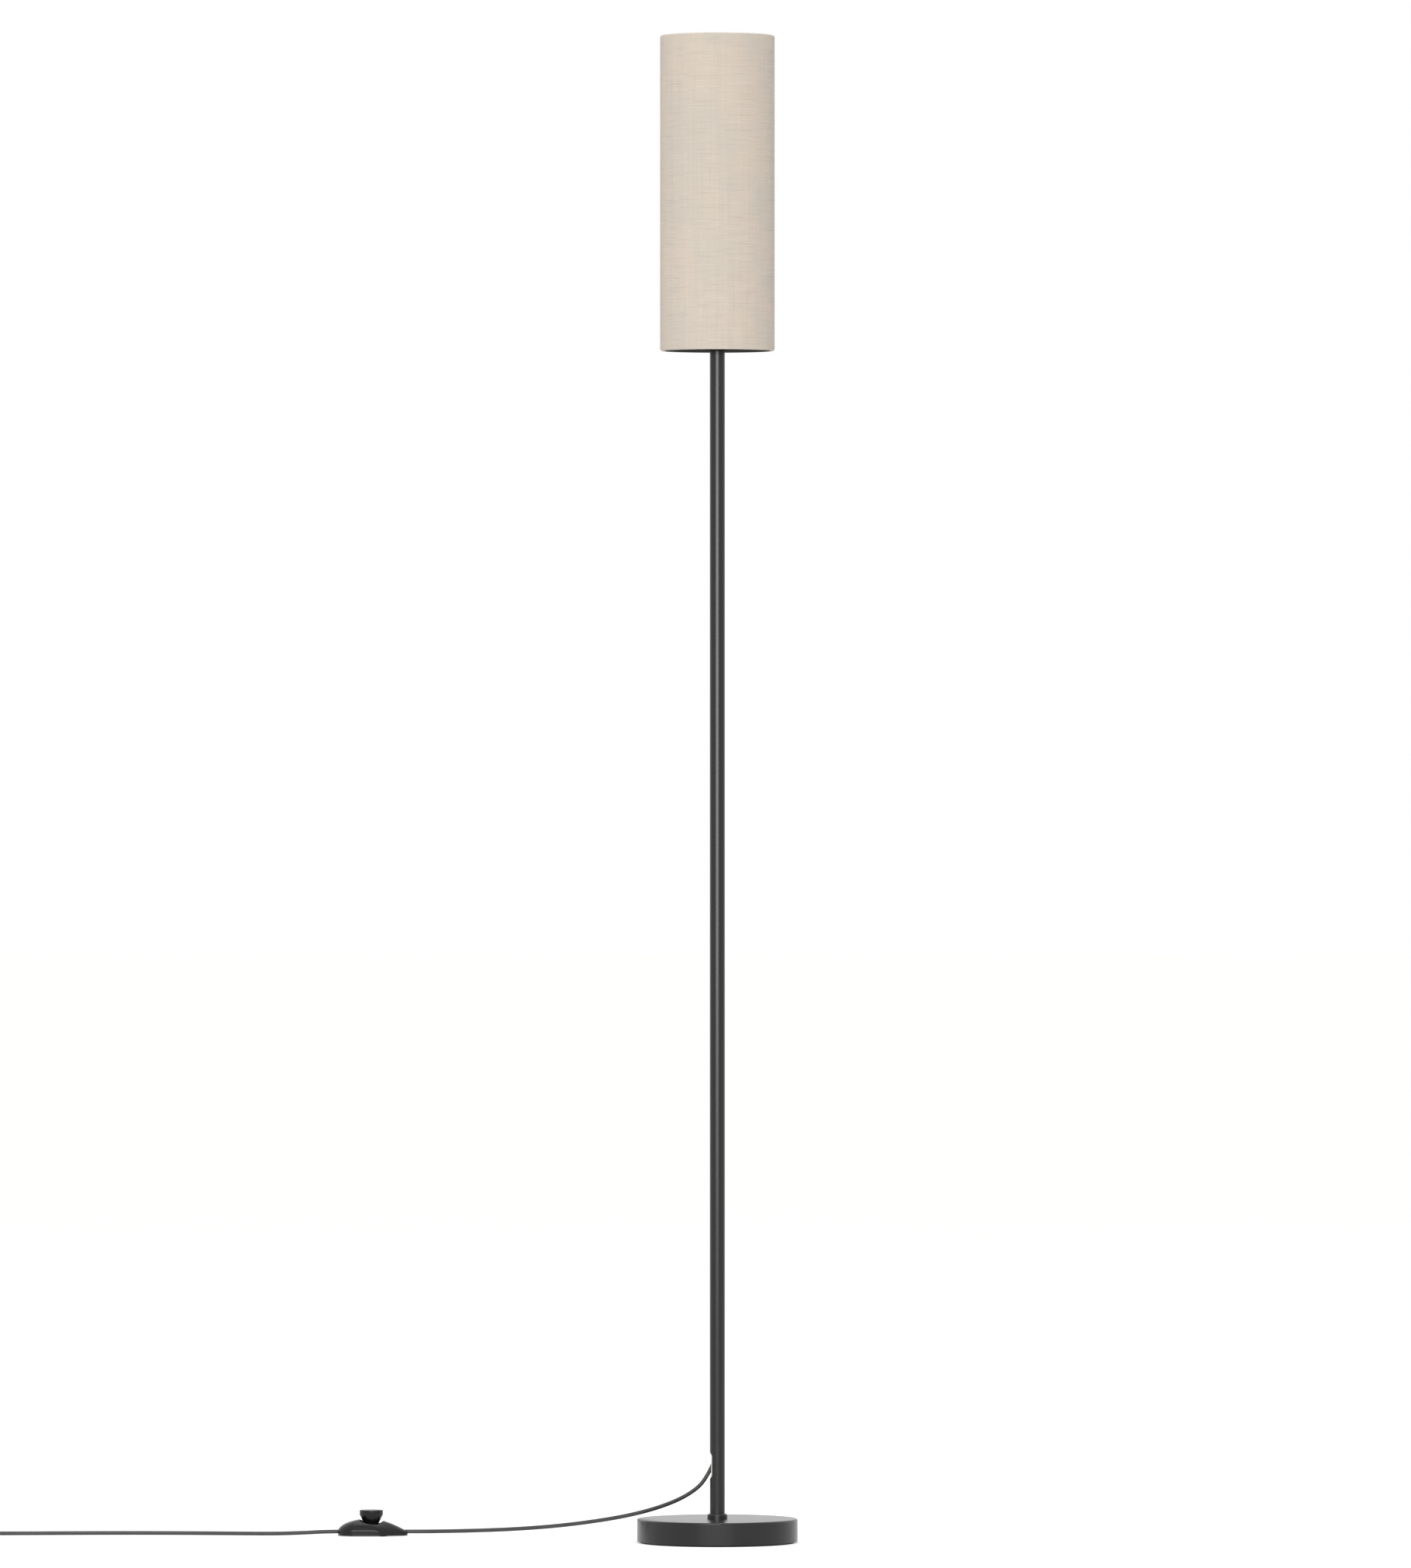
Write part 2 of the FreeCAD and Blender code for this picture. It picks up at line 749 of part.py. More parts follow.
def make_shade_liner():
    return ring(liner_r * 2, liner_bore_r * 2, top_ring_z - bottom_ring_z, bottom_ring_z)


def make_shade_top_ring():
    return Part.makeTorus(ring_r, ring_wire_d / 2, V(0, 0, top_ring_z))


def gallery_arms(wire_d):
    """Bent wires from the hub out and down to the bottom ring."""
    arms = []
    level_z = hub_z + hub_t - arm_wire_d / 2
    start_r = (hub_d + shoulder_d) / 4
    for number in range(arm_count):
        points = [V(start_r, 0, level_z), V(arm_knee_r, 0, level_z), V(ring_r, 0, bottom_ring_z)]
        wire, radii = rounded_path(points, arm_bend_r)
        arm = tube_along(wire, wire_d)
        arm.rotate(V(0, 0, 0), Z_AXIS, 90 + number * 360.0 / arm_count)
        arms.append(arm)
    return arms


def make_shade_gallery():
    """The welded bottom frame: ring, arms and the hub that sits on the holder's shoulder."""
    frame = Part.makeTorus(ring_r, ring_wire_d / 2, V(0, 0, bottom_ring_z))
    hub = ring(hub_d, sleeve_d + 2 * hub_gap, hub_t, hub_z)
    return frame.multiFuse(gallery_arms(arm_wire_d) + [hub])


def make_shade_ring_nut():
    """The plastic ring that clamps the hub, with grip flutes round its edge."""
    nut = ring(ring_nut_d, sleeve_d + 2 * ring_nut_gap, ring_nut_h, ring_nut_z)
    for number in range(ring_nut_grips):
        angle = 2 * math.pi * number / ring_nut_grips
        nut = nut.cut(cylinder(ring_nut_grip_d, ring_nut_h + 2, ring_nut_z - 1,
                               ring_nut_d / 2 * math.cos(angle), ring_nut_d / 2 * math.sin(angle)))
    return nut


# ---- Bulb ----
def glass_outline(d, neck_d, low, top, edge):
    """Half of a tubular bulb: neck, shoulder, straight tube and round end."""
    r = d / 2
    neck_r = neck_d / 2
    shoulder = low + bulb_neck_h
    return [
        line(V(0, 0, low), V(neck_r, 0, low)),
        line(V(neck_r, 0, low), V(neck_r, 0, shoulder)),
        line(V(neck_r, 0, shoulder), V(r, 0, shoulder + edge)),
        line(V(r, 0, shoulder + edge), V(r, 0, top - r)),
        arc(V(r, 0, top - r), polar(0, top - r, r, 45), V(0, 0, top)),
        line(V(0, 0, top), V(0, 0, low)),
    ]


def make_bulb_glass():
    outside = turned(glass_outline(bulb_d, bulb_neck_d, bulb_glass_z, bulb_top, bulb_shoulder_h))
    inside = turned(glass_outline(bulb_d - 2 * bulb_glass_t, bulb_neck_d - 2 * bulb_glass_t,
                                  bulb_glass_z - 1, bulb_top - bulb_glass_t, bulb_shoulder_h + 1))
    return outside.cut(inside)


def make_bulb_cap():
    """The screw shell, open at the top round the glass neck."""
    shell = ring(bulb_cap_d, bulb_cap_d - 2 * bulb_cap_t, bulb_cap_h, bulb_cap_z)
    seat = ring(bulb_cap_d, bulb_tip_d, bulb_cap_t, bulb_cap_z)
    collar = ring(bulb_cap_d, bulb_neck_d, bulb_seat_h, bulb_glass_z)
    return shell.fuse(seat).fuse(collar).removeSplitter()


def make_bulb_cap_insulator():
    """The dark cone below the cap, with its centre contact."""
    tip_r = bulb_tip_d / 2
    seal_z = bulb_cap_z + bulb_seal_h
    return turned_polygon([
        (0, bulb_z), (bulb_tip_flat_d / 2, bulb_z), (tip_r, bulb_z + bulb_tip_rise),
        (bulb_cap_d / 2 - bulb_cone_inset, bulb_cap_z), (tip_r, bulb_cap_z), (tip_r, seal_z), (0, seal_z)])


def make_bulb_stem():
    """The glass stem that closes the neck and carries the filaments."""
    foot = cylinder(bulb_neck_d - 2 * bulb_glass_t, stem_foot_t, bulb_glass_z)
    post = cylinder(stem_d, stem_h, bulb_glass_z)
    rod = cylinder(stem_rod_d, filament_length, bulb_glass_z + stem_h)
    return foot.fuse(post).fuse(rod).removeSplitter()


def make_bulb_filaments():
    """Upright light filaments standing round the stem, held by a wire star at each end."""
    low = bulb_glass_z + stem_h - filament_drop
    circle_r = filament_circle_d / 2
    stars = ((stem_d / 2, low + star_inset), (stem_rod_d / 2, low + filament_length - star_inset))
    pieces = []
    for number in range(filament_count):
        turn = 360.0 * number / filament_count
        pieces.append(cylinder(filament_d, filament_length, low, circle_r))
        for inner_r, z in stars:
            pieces.append(Part.makeCylinder(star_wire_d / 2, circle_r - inner_r, V(inner_r, 0, z), X_AXIS))
        for piece in pieces[-3:]:
            piece.rotate(V(0, 0, 0), Z_AXIS, turn)
    return pieces[0].multiFuse(pieces[1:])


# ---- Foot switch ----
def switch_outline(z, tail, nose, half_width, nose_r):
    """The outline from above: a round tail, straight sides and a narrower nose."""
    nose_r = min(nose_r, half_width * 0.8)
    tail_x = half_width - tail
    nose_x = nose - nose_r
    waist_x = tail_x + (nose_x - tail_x) * switch_waist_share
    lean = math.asin((half_width - nose_r) / (nose_x - waist_x))

    def around(centre_x, radius, degrees):
        angle = math.radians(degrees)
        return V(centre_x + radius * math.cos(angle), radius * math.sin(angle), z)

    turn = math.degrees(lean)
    edges = [
        arc(around(tail_x, half_width, 180), around(tail_x, half_width, 135),
            around(tail_x, half_width, 90)),
        line(around(tail_x, half_width, 90), around(waist_x, half_width, 90)),
        arc(around(waist_x, half_width, 90), around(waist_x, half_width, 90 - turn / 2),
            around(waist_x, half_width, 90 - turn)),
        line(around(waist_x, half_width, 90 - turn), around(nose_x, nose_r, 90 - turn)),
        arc(around(nose_x, nose_r, 90 - turn), around(nose_x, nose_r, 0),
            around(nose_x, nose_r, turn - 90)),
        line(around(nose_x, nose_r, turn - 90), around(waist_x, half_width, turn - 90)),
        arc(around(waist_x, half_width, turn - 90), around(waist_x, half_width, turn / 2 - 90),
            around(waist_x, half_width, -90)),
        line(around(waist_x, half_width, -90), around(tail_x, half_width, -90)),
        arc(around(tail_x, half_width, -90), around(tail_x, half_width, -135),
            around(tail_x, half_width, 180)),
    ]
    return Part.Wire(edges)


def switch_dome(inset):
    """The upper shell's form: its outlines shrink as an ellipse's do, faster at the nose."""
    low = cord_entry_z
    rise = switch_height - low
    wires = []
    for share in dome_shares:
        round_off = math.sqrt(1 - share ** 2)
        slope = max((1 - share) ** dome_nose_power, dome_nose_least)
        top_drop = inset * share
        wires.append(switch_outline(low + rise * share - top_drop,
                                    switch_tail * round_off - inset,
                                    switch_nose * slope - inset,
                                    switch_half_width * round_off - inset, switch_nose_r - inset * 0.5))
    return Part.makeLoft(wires, True, False)


def at_switch(shape):
    """Moves a shape from the switch's own origin to its place on the floor."""
    shape.translate(V(switch_x, switch_y, 0))
    return shape


def shell_cut(shape):
    """Takes both cord entries out of a shell."""
    r = cord_r + cord_entry_gap
    into_nose = Part.makeCylinder(r, nose_entry_depth + 5, V(nose_cord_end, 0, cord_entry_z), X_AXIS)
    into_tail = Part.makeCylinder(r, tail_entry_depth + 5, V(tail_cord_end, 0, cord_entry_z), -X_AXIS)
    return shape.cut(into_nose).cut(into_tail)


def screw_bosses():
    """Posts for the two screws that hold the shells together."""
    posts = [cylinder(shell_screw_boss_d, switch_height, switch_floor_z, x, y)
             for x, y in shell_screw_spots]
    return posts[0].fuse(posts[1])


def shell_screw_holes():
    holes = [cylinder(shell_screw_d, shell_screw_reach + switch_floor_t, switch_foot_t, x, y)
             for x, y in shell_screw_spots]
    heads = [cylinder(shell_screw_head_d, shell_screw_head_h, switch_foot_t, x, y)
             for x, y in shell_screw_spots]
    return holes[0].multiFuse(holes[1:] + heads)


def clamp_spots():
    """Centres of the four clamp screws."""
    spots = []
    for x in clamp_centres:
        for side in (-1, 1):
            spots.append((x, side * clamp_screw_spacing / 2))
    return spots


def make_switch_base_shell():
    """The lower shell: a shallow tray with posts for the clamp screws and shell screws."""
    outside = Part.Face(switch_outline(switch_foot_t, switch_tail, switch_nose, switch_half_width,
                                       switch_nose_r)).extrude(V(0, 0, cord_entry_z - switch_foot_t))
    inside = Part.Face(switch_outline(switch_floor_z, switch_tail - switch_wall, switch_nose - switch_wall,
                                      switch_half_width - switch_wall,
                                      switch_nose_r - switch_wall / 2)).extrude(V(0, 0, cord_entry_z))
    posts = [cylinder(clamp_post_d, clamp_z - switch_floor_z, switch_floor_z, x, y)
             for x, y in clamp_spots()]
    tray = outside.cut(inside)
    tray = tray.fuse(screw_bosses().common(outside)).multiFuse(posts)
    tray = shell_cut(tray.cut(shell_screw_holes()))
    for x, y in clamp_spots():
        tray = tray.cut(cylinder(clamp_screw_d, clamp_z, switch_floor_z, x, y))
    return at_switch(tray.removeSplitter())


def make_switch_top_shell():
    """The domed upper shell, with a round well that the knob dips into."""
    dome = switch_dome(0.0)
    hollow = switch_dome(switch_wall)
    cup = cylinder(well_d + 2 * switch_wall, switch_height, well_low_z)
    shell = dome.cut(hollow).fuse(cup.fuse(screw_bosses()).common(dome))
    shell = shell.cut(cylinder(well_d, switch_height, well_floor_z))
    shell = shell.cut(cylinder(plunger_d + 2 * plunger_gap, switch_height, 0))
    return at_switch(shell_cut(shell.cut(shell_screw_holes())).removeSplitter())


def make_switch_feet():
    """Three thin rubber dots under the switch."""
    feet = [cylinder(switch_foot_d, switch_foot_t, 0, x, y) for x, y in switch_foot_spots]
    return at_switch(Part.makeCompound(feet))


def make_switch_knob():
    """The push knob: a flared cone under a flat-topped rim."""
    r = knob_d / 2
    rim_z = knob_top_z - knob_rim_h
    edges = [
        line(V(0, 0, knob_low_z), V(knob_neck_d / 2, 0, knob_low_z)),
        line(V(knob_neck_d / 2, 0, knob_low_z), V(r, 0, rim_z)),
        line(V(r, 0, rim_z), V(r, 0, knob_top_z - knob_edge_r)),
        arc(V(r, 0, knob_top_z - knob_edge_r),
            polar(r - knob_edge_r, knob_top_z - knob_edge_r, knob_edge_r, 45),
            V(r - knob_edge_r, 0, knob_top_z)),
        line(V(r - knob_edge_r, 0, knob_top_z), V(0, 0, knob_top_z)),
        line(V(0, 0, knob_top_z), V(0, 0, knob_low_z)),
    ]
    socket = cylinder(plunger_d, plunger_in_knob + 1, knob_low_z - 1)
    return at_switch(turned(edges).cut(socket))


def make_switch_plunger():
    """The hollow stem pressed into the knob, with a flange that keeps it in the shell."""
    stem = cylinder(plunger_d, plunger_top_z - flange_z, flange_z)
    flange = cylinder(plunger_flange_d, plunger_flange_t, flange_z)
    bore = cylinder(plunger_bore_d, plunger_top_z - plunger_roof_t - flange_z + 1, flange_z - 1)
    return at_switch(stem.fuse(flange).cut(bore).removeSplitter())


def make_switch_spring():
    """The return spring between the lower shell and the plunger's roof."""
    low = switch_floor_z + spring_wire_d / 2
    rise = plunger_top_z - plunger_roof_t - spring_wire_d / 2 - low
    r = plunger_bore_d / 2 - spring_wire_d / 2 - spring_gap

    def point(turns):
        angle = 2 * math.pi * turns
        return V(r * math.cos(angle), r * math.sin(angle), low + rise * turns / spring_turns)

    return at_switch(tube_along(wound_wire(point, spring_turns), spring_wire_d))


def make_switch_terminals():
    """Two brass terminal blocks on the lower shell's floor."""
    blocks = []
    for side in (-1, 1):
        block = box(terminal_l, terminal_w, terminal_h, side * terminal_x, terminal_y, switch_floor_z)
        block = block.cut(cylinder(terminal_screw_d, terminal_h, switch_floor_z + terminal_floor,
                                   side * terminal_x, terminal_y))
        blocks.append(block)
    return at_switch(Part.makeCompound(blocks))


def make_switch_terminal_screws():
    screws = []
    for side in (-1, 1):
        shank = cylinder(terminal_screw_d, terminal_h - terminal_floor, switch_floor_z + terminal_floor,
                         side * terminal_x, terminal_y)
        head = cylinder(terminal_screw_head_d, terminal_screw_h, terminal_top, side * terminal_x, terminal_y)
        slot = box(terminal_l, terminal_slot_w, terminal_screw_h, side * terminal_x, terminal_y,
                   terminal_top + terminal_screw_h / 2)
        screws.append(shank.fuse(head).cut(slot).removeSplitter())
    return at_switch(Part.makeCompound(screws))


def make_switch_bridge():
    """The contact strip between the terminals, beside the plunger."""
    length = 2 * terminal_x - terminal_l
    y = terminal_y + (terminal_w - bridge_w) / 2
    return at_switch(box(length, bridge_w, bridge_t, 0, y, switch_floor_z))


def make_switch_cord_clamps():
    """A bar across the cord at each end, screwed down on its two posts."""
    bars = []
    for x in clamp_centres:
        bar = box(clamp_l, clamp_w, clamp_t, x, 0, clamp_z)
        for side in (-1, 1):
            bar = bar.cut(cylinder(clamp_screw_d, clamp_t + 2, clamp_z - 1, x,
                                   side * clamp_screw_spacing / 2))
        bars.append(bar)
    return at_switch(Part.makeCompound(bars))


def make_switch_clamp_screws():
    screws = []
    for x, y in clamp_spots():
        screws.append(cylinder(clamp_screw_d, clamp_z + clamp_t - switch_floor_z, switch_floor_z, x, y))
    return at_switch(Part.makeCompound(screws))


def make_switch_live_cores():
    """The switched core: from each cord's end into the terminal beside it."""
    cores = []
    for cord_end, side in ((nose_cord_end, 1), (tail_cord_end, -1)):
        corner = V(side * terminal_x, core_spread, cord_entry_z)
        wire, radii = rounded_path([
            V(cord_end, core_spread, cord_entry_z), corner,
            V(side * terminal_x, terminal_y - terminal_w / 2, cord_entry_z)])
        cores.append(tube_along(wire, core_d))
    return at_switch(Part.makeCompound(cores))


def make_switch_neutral_core():
    """The core that runs past the switch, round the plunger."""
    side_x, side_y = through_core_side
    wire, radii = rounded_path([
        V(nose_cord_end, -core_spread, cord_entry_z), V(through_core_bend_x, -core_spread, cord_entry_z),
        V(side_x, side_y, cord_entry_z), V(0, through_core_y, cord_entry_z),
        V(-side_x, side_y, cord_entry_z), V(-through_core_bend_x, -core_spread, cord_entry_z),
        V(tail_cord_end, -core_spread, cord_entry_z)])
    return at_switch(tube_along(wire, core_d))


def make_switch_shell_screws():
    screws = []
    for x, y in shell_screw_spots:
        shank = cylinder(shell_screw_d, shell_screw_reach, switch_foot_t, x, y)
        head = cylinder(shell_screw_head_d, shell_screw_head_h, switch_foot_t, x, y)
        screws.append(shank.fuse(head).removeSplitter())
    return at_switch(Part.makeCompound(screws))


# ---- Cords ----
def make_cord_to_switch():
    """The hanging stretch from the slot to the foot switch's nose."""
    end = V(switch_x + nose_cord_end, switch_y, cord_entry_z)
    straight = end + V(nose_entry_depth + cord_lead_out, 0, 0)
    return cord_stretch("cord_to_switch", [exit_point] + route_to_switch + [straight, end])


def make_cord_from_switch():
    """The stretch from the switch's tail along the floor to the coil."""
    end = V(switch_x + tail_cord_end, switch_y, cord_entry_z)
    straight = end - V(tail_entry_depth + cord_lead_out, 0, 0)
    coil_end, heading = coil_start()
    return cord_stretch("cord_from_switch", [end, straight] + route_from_switch
                        + [coil_end - heading * coil_lead_in, coil_end])


def smooth(share):
    return share * share * (3 - 2 * share)


def coil_point(turns):
    """A point of the coil after so many turns: in and out again, a layer higher each time."""
    layer = int(turns // coil_turns_per_layer)
    along = turns - layer * coil_turns_per_layer
    if layer >= coil_layers:
        r = coil_outer_r + coil_pitch * along
    elif layer % 2 == 0:
        r = coil_outer_r - coil_pitch * along
    else:
        r = coil_outer_r - coil_pitch * (coil_turns_per_layer - along)
    level = 0.0
    for step in range(1, coil_layers):
        share = (turns - step * coil_turns_per_layer) / coil_climb_turns + 0.5
        level += smooth(min(max(share, 0.0), 1.0))
    angle = math.pi / 2 + 2 * math.pi * turns
    return V(coil_x + r * math.cos(angle), coil_y + r * math.sin(angle), cord_r + coil_pitch * level)


def coil_start():
    """Where the coil's straight lead-in begins, and its heading."""
    heading = heading_at(coil_point, 0.0, coil_turns)
    return coil_point(0.0) - heading * cord_d, heading


def coil_end():
    """Where the coil's straight lead-out ends, and its heading."""
    heading = heading_at(coil_point, coil_turns, coil_turns)
    return coil_point(coil_turns) + heading * cord_d, heading


def make_cord_coil():
    """The spare length, wound in four layers of two turns, one unbroken tube."""
    wire = wound_wire(coil_point, coil_turns, coil_start()[0], coil_end()[0])
    tube = tube_along(wire, cord_d)
    print("cord_coil length %.1f" % wire.Length, "least gap to itself %.2f" % coil_gap(wire),
          "volume share %.4f" % (tube.Volume / (math.pi * cord_r ** 2 * wire.Length)))
    return tube


def coil_gap(wire):
    """The least gap between one turn's surface and another's, over points along the tube."""
    spacing = 2.0
    points = wire.discretize(Distance=spacing)
    apart = int(coil_mean_d / spacing)
    least = min((a - b).Length for i, a in enumerate(points) for b in points[i + apart:])
    return least - cord_d


def plug_heading():
    angle = math.radians(plug_heading_deg)
    return V(math.cos(angle), math.sin(angle), 0)


def tail_points():
    """From the coil's top layer down to the plug's sleeve."""
    start, heading = coil_end()
    points = [start, start + heading * tail_lead_out] + [start + drop for drop in tail_drop]
    near = points[-1]
    level = V(near.x, near.y, plug_thickness / 2)
    for step in range(1, plug_runs + 1):
        points.append(level + plug_heading() * (plug_run * step))
    return points


def make_cord_tail():
    return cord_stretch("cord_tail", tail_points())


# ---- Plug ----
def at_plug(shape):
    """Moves a shape from the plug's own axis, +X towards its pins, to its place on the floor."""
    shape.rotate(V(0, 0, 0), Z_AXIS, plug_heading_deg)
    shape.translate(tail_points()[-1])
    return shape


def plug_section(x, width, thickness, corner):
    """A flat eight-sided section of the plug's body."""
    w = width / 2
    t = thickness / 2
    corners = [V(x, w - corner, t), V(x, w, t - corner), V(x, w, corner - t), V(x, w - corner, -t),
               V(x, corner - w, -t), V(x, -w, corner - t), V(x, -w, t - corner), V(x, corner - w, t)]
    return Part.makePolygon(corners + corners[:1])


def make_plug_body():
    """The flat moulded body, wide at the pins and narrow at the sleeve."""
    low = plug_sleeve_l
    sections = [
        plug_section(low, plug_neck_width, plug_neck_thickness, plug_neck_chamfer),
        plug_section(low + plug_shoulder, plug_width, plug_thickness, plug_chamfer),
        plug_section(low + plug_length, plug_width, plug_thickness, plug_chamfer),
    ]
    body = Part.makeLoft(sections, True, True)
    for side in (-1, 1):
        hole = Part.makeCylinder(pin_neck_d / 2, pin_root,
                                 V(low + plug_length - pin_root, side * pin_spacing / 2, 0), X_AXIS)
        body = body.cut(hole)
    return at_plug(body)


def make_plug_sleeve():
    """The tapered strain relief, with grooves round it."""
    cone = Part.makeCone(plug_sleeve_end_d / 2, plug_sleeve_d / 2, plug_sleeve_l, V(0, 0, 0), X_AXIS)
    pitch = plug_sleeve_l / (plug_sleeve_ribs + 1)
    for number in range(1, plug_sleeve_ribs + 1):
        x = number * pitch
        groove_l = pitch * plug_groove_share
        groove = Part.makeCylinder(plug_sleeve_d, groove_l, V(x, 0, 0), X_AXIS)
        outer_r = (plug_sleeve_end_d + (plug_sleeve_d - plug_sleeve_end_d) * x / plug_sleeve_l) / 2
        core = Part.makeCylinder(outer_r - plug_groove_depth, groove_l + 2, V(x - 1, 0, 0), X_AXIS)
        cone = cone.cut(groove.cut(core))
    return at_plug(cone)


def pin_bar(d, start, length, side):
    """A round bar on a pin's axis, measured from the plug's front face."""
    face_x = plug_sleeve_l + plug_length
    return Part.makeCylinder(d / 2, length, V(face_x + start, side * pin_spacing / 2, 0), X_AXIS)


def make_plug_pins():
    """Two round pins, bare at the tip and necked where they are insulated."""
    pins = []
    end_x = plug_sleeve_l + plug_length + pin_length
    for side in (-1, 1):
        neck = pin_bar(pin_neck_d, -pin_root, pin_root + pin_sleeve_l, side)
        tip = pin_bar(pin_d, pin_sleeve_l, pin_length - pin_sleeve_l, side)
        rim = [edge for edge in tip.Edges if edge.BoundBox.XMin > end_x - pin_tip_r]
        pins.append(at_plug(neck.fuse(tip.makeFillet(pin_tip_r, rim))))
    return Part.makeCompound(pins)


def make_plug_pin_sleeves():
    """The insulating sleeves on the pins' roots."""
    sleeves = [pin_bar(pin_sleeve_d, 0, pin_sleeve_l, side).cut(pin_bar(pin_neck_d, 0, pin_sleeve_l, side))
               for side in (-1, 1)]
    return at_plug(Part.makeCompound(sleeves))


# ---- Everything, in the order it goes together ----
parts = {
    "base_pad": make_base_pad(),
    "base_weight": make_base_weight(),
    "base_cover": make_base_cover(),
    "base_bolt": make_base_bolt(),
    "base_washer": make_base_washer(),
    "base_lock_washer": make_base_lock_washer(),
    "pole_foot_plug": make_pole_foot_plug(),
    "pole_collar": make_pole_collar(),
    "pole_tube": make_pole_tube(),
    "cord_bushing": make_cord_bushing(),
    "pole_top_plug": make_pole_top_plug(),
    "cord_in_pole": make_cord_in_pole(),
    "shade_plate": make_shade_plate(),
    "holder_nipple": make_holder_nipple(),
    "nipple_washer": make_nipple_washer(),
    "nipple_nut": make_nipple_nut(),
    "holder_cap": make_holder_cap(),
    "holder_insert": make_holder_insert(),
    "holder_centre_contact": make_holder_centre_contact(),
    "holder_side_contact": make_holder_side_contact(),
    "holder_sleeve": make_holder_sleeve(),
    "holder_grip_screw": make_holder_grip_screw(),
    "live_core": make_core(1),
    "neutral_core": make_core(-1),
    "shade_fabric": make_shade_fabric(),
    "shade_liner": make_shade_liner(),
    "shade_top_ring": make_shade_top_ring(),
    "shade_gallery": make_shade_gallery(),
    "shade_ring_nut": make_shade_ring_nut(),
    "bulb_glass": make_bulb_glass(),
    "bulb_cap": make_bulb_cap(),
    "bulb_cap_insulator": make_bulb_cap_insulator(),
    "bulb_stem": make_bulb_stem(),
    "bulb_filaments": make_bulb_filaments(),
    "switch_base_shell": make_switch_base_shell(),
    "switch_top_shell": make_switch_top_shell(),
    "switch_feet": make_switch_feet(),
    "switch_knob": make_switch_knob(),
    "switch_plunger": make_switch_plunger(),
    "switch_spring": make_switch_spring(),
    "switch_terminals": make_switch_terminals(),
    "switch_terminal_screws": make_switch_terminal_screws(),
    "switch_bridge": make_switch_bridge(),
    "switch_cord_clamps": make_switch_cord_clamps(),
    "switch_clamp_screws": make_switch_clamp_screws(),
    "switch_shell_screws": make_switch_shell_screws(),
    "switch_live_cores": make_switch_live_cores(),
    "switch_neutral_core": make_switch_neutral_core(),
    "cord_to_switch": make_cord_to_switch(),
    "cord_from_switch": make_cord_from_switch(),
    "cord_coil": make_cord_coil(),
    "cord_tail": make_cord_tail(),
    "plug_body": make_plug_body(),
    "plug_sleeve": make_plug_sleeve(),
    "plug_pins": make_plug_pins(),
    "plug_pin_sleeves": make_plug_pin_sleeves(),
}

os.makedirs("parts", exist_ok=True)
for name, shape in parts.items():
    shape.exportStep("parts/%s.step" % name)
    print(name, shape.ShapeType, len(shape.Solids), "valid" if shape.isValid() else "NOT VALID",
          "%.1f" % shape.Volume)
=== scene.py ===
import math

import bpy
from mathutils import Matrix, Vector


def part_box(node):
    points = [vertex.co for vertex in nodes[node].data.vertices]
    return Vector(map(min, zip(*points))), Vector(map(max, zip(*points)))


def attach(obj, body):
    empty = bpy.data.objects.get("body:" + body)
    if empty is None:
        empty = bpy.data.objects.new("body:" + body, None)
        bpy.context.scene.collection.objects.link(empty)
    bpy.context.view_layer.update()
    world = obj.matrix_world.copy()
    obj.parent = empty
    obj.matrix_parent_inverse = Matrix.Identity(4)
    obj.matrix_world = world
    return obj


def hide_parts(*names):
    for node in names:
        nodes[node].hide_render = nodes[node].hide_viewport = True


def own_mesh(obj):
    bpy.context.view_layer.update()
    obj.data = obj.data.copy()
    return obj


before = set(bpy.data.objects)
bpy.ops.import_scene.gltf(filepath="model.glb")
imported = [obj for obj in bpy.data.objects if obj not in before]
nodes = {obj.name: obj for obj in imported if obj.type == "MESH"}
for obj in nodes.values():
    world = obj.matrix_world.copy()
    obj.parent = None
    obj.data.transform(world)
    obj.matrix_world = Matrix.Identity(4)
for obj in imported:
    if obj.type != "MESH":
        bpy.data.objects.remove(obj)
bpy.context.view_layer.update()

# ---- Felt pad under the base ----
# A ring of dark needle felt, die-cut and glued under the iron so that the lamp doesn't mark the floor.
# Its cut edges are soft, and its fibres lie in every direction.
FELT_EDGE = 0.0005
FELT_DARK = (0.018, 0.018, 0.018)
FELT_LIGHT = (0.065, 0.064, 0.061)
POINT = 1e-7
MERGE_DISTANCE = 1e-6


def pick(piece):
    """Makes one piece the selected and active one, in object mode."""
    if bpy.context.object and bpy.context.object.mode == "EDIT":
        bpy.ops.object.mode_set(mode="OBJECT")
    bpy.ops.object.select_all(action="DESELECT")
    piece.select_set(True)
    bpy.context.view_layer.objects.active = piece


def apply_modifiers(piece):
    """Makes every modifier part of the mesh."""
    pick(piece)
    for modifier in list(piece.modifiers):
        bpy.ops.object.modifier_apply(modifier=modifier.name)


def round_edges(piece, width, segments=3, angle=35.0):
    """Rounds the edges that are sharper than an angle."""
    bevel = piece.modifiers.new("rounding", "BEVEL")
    bevel.width = width
    bevel.segments = segments
    bevel.limit_method = "ANGLE"
    bevel.angle_limit = math.radians(angle)
    apply_modifiers(piece)


def edit_all(piece):
    """Opens one piece's mesh for editing, with all of it selected."""
    pick(piece)
    bpy.ops.object.mode_set(mode="EDIT")
    bpy.ops.mesh.select_all(action="SELECT")


def tidy_mesh(piece):
    """Merges doubled points and points every face outwards."""
    edit_all(piece)
    bpy.ops.mesh.remove_doubles(threshold=MERGE_DISTANCE)
    bpy.ops.mesh.normals_make_consistent(inside=False)
    bpy.ops.object.mode_set(mode="OBJECT")


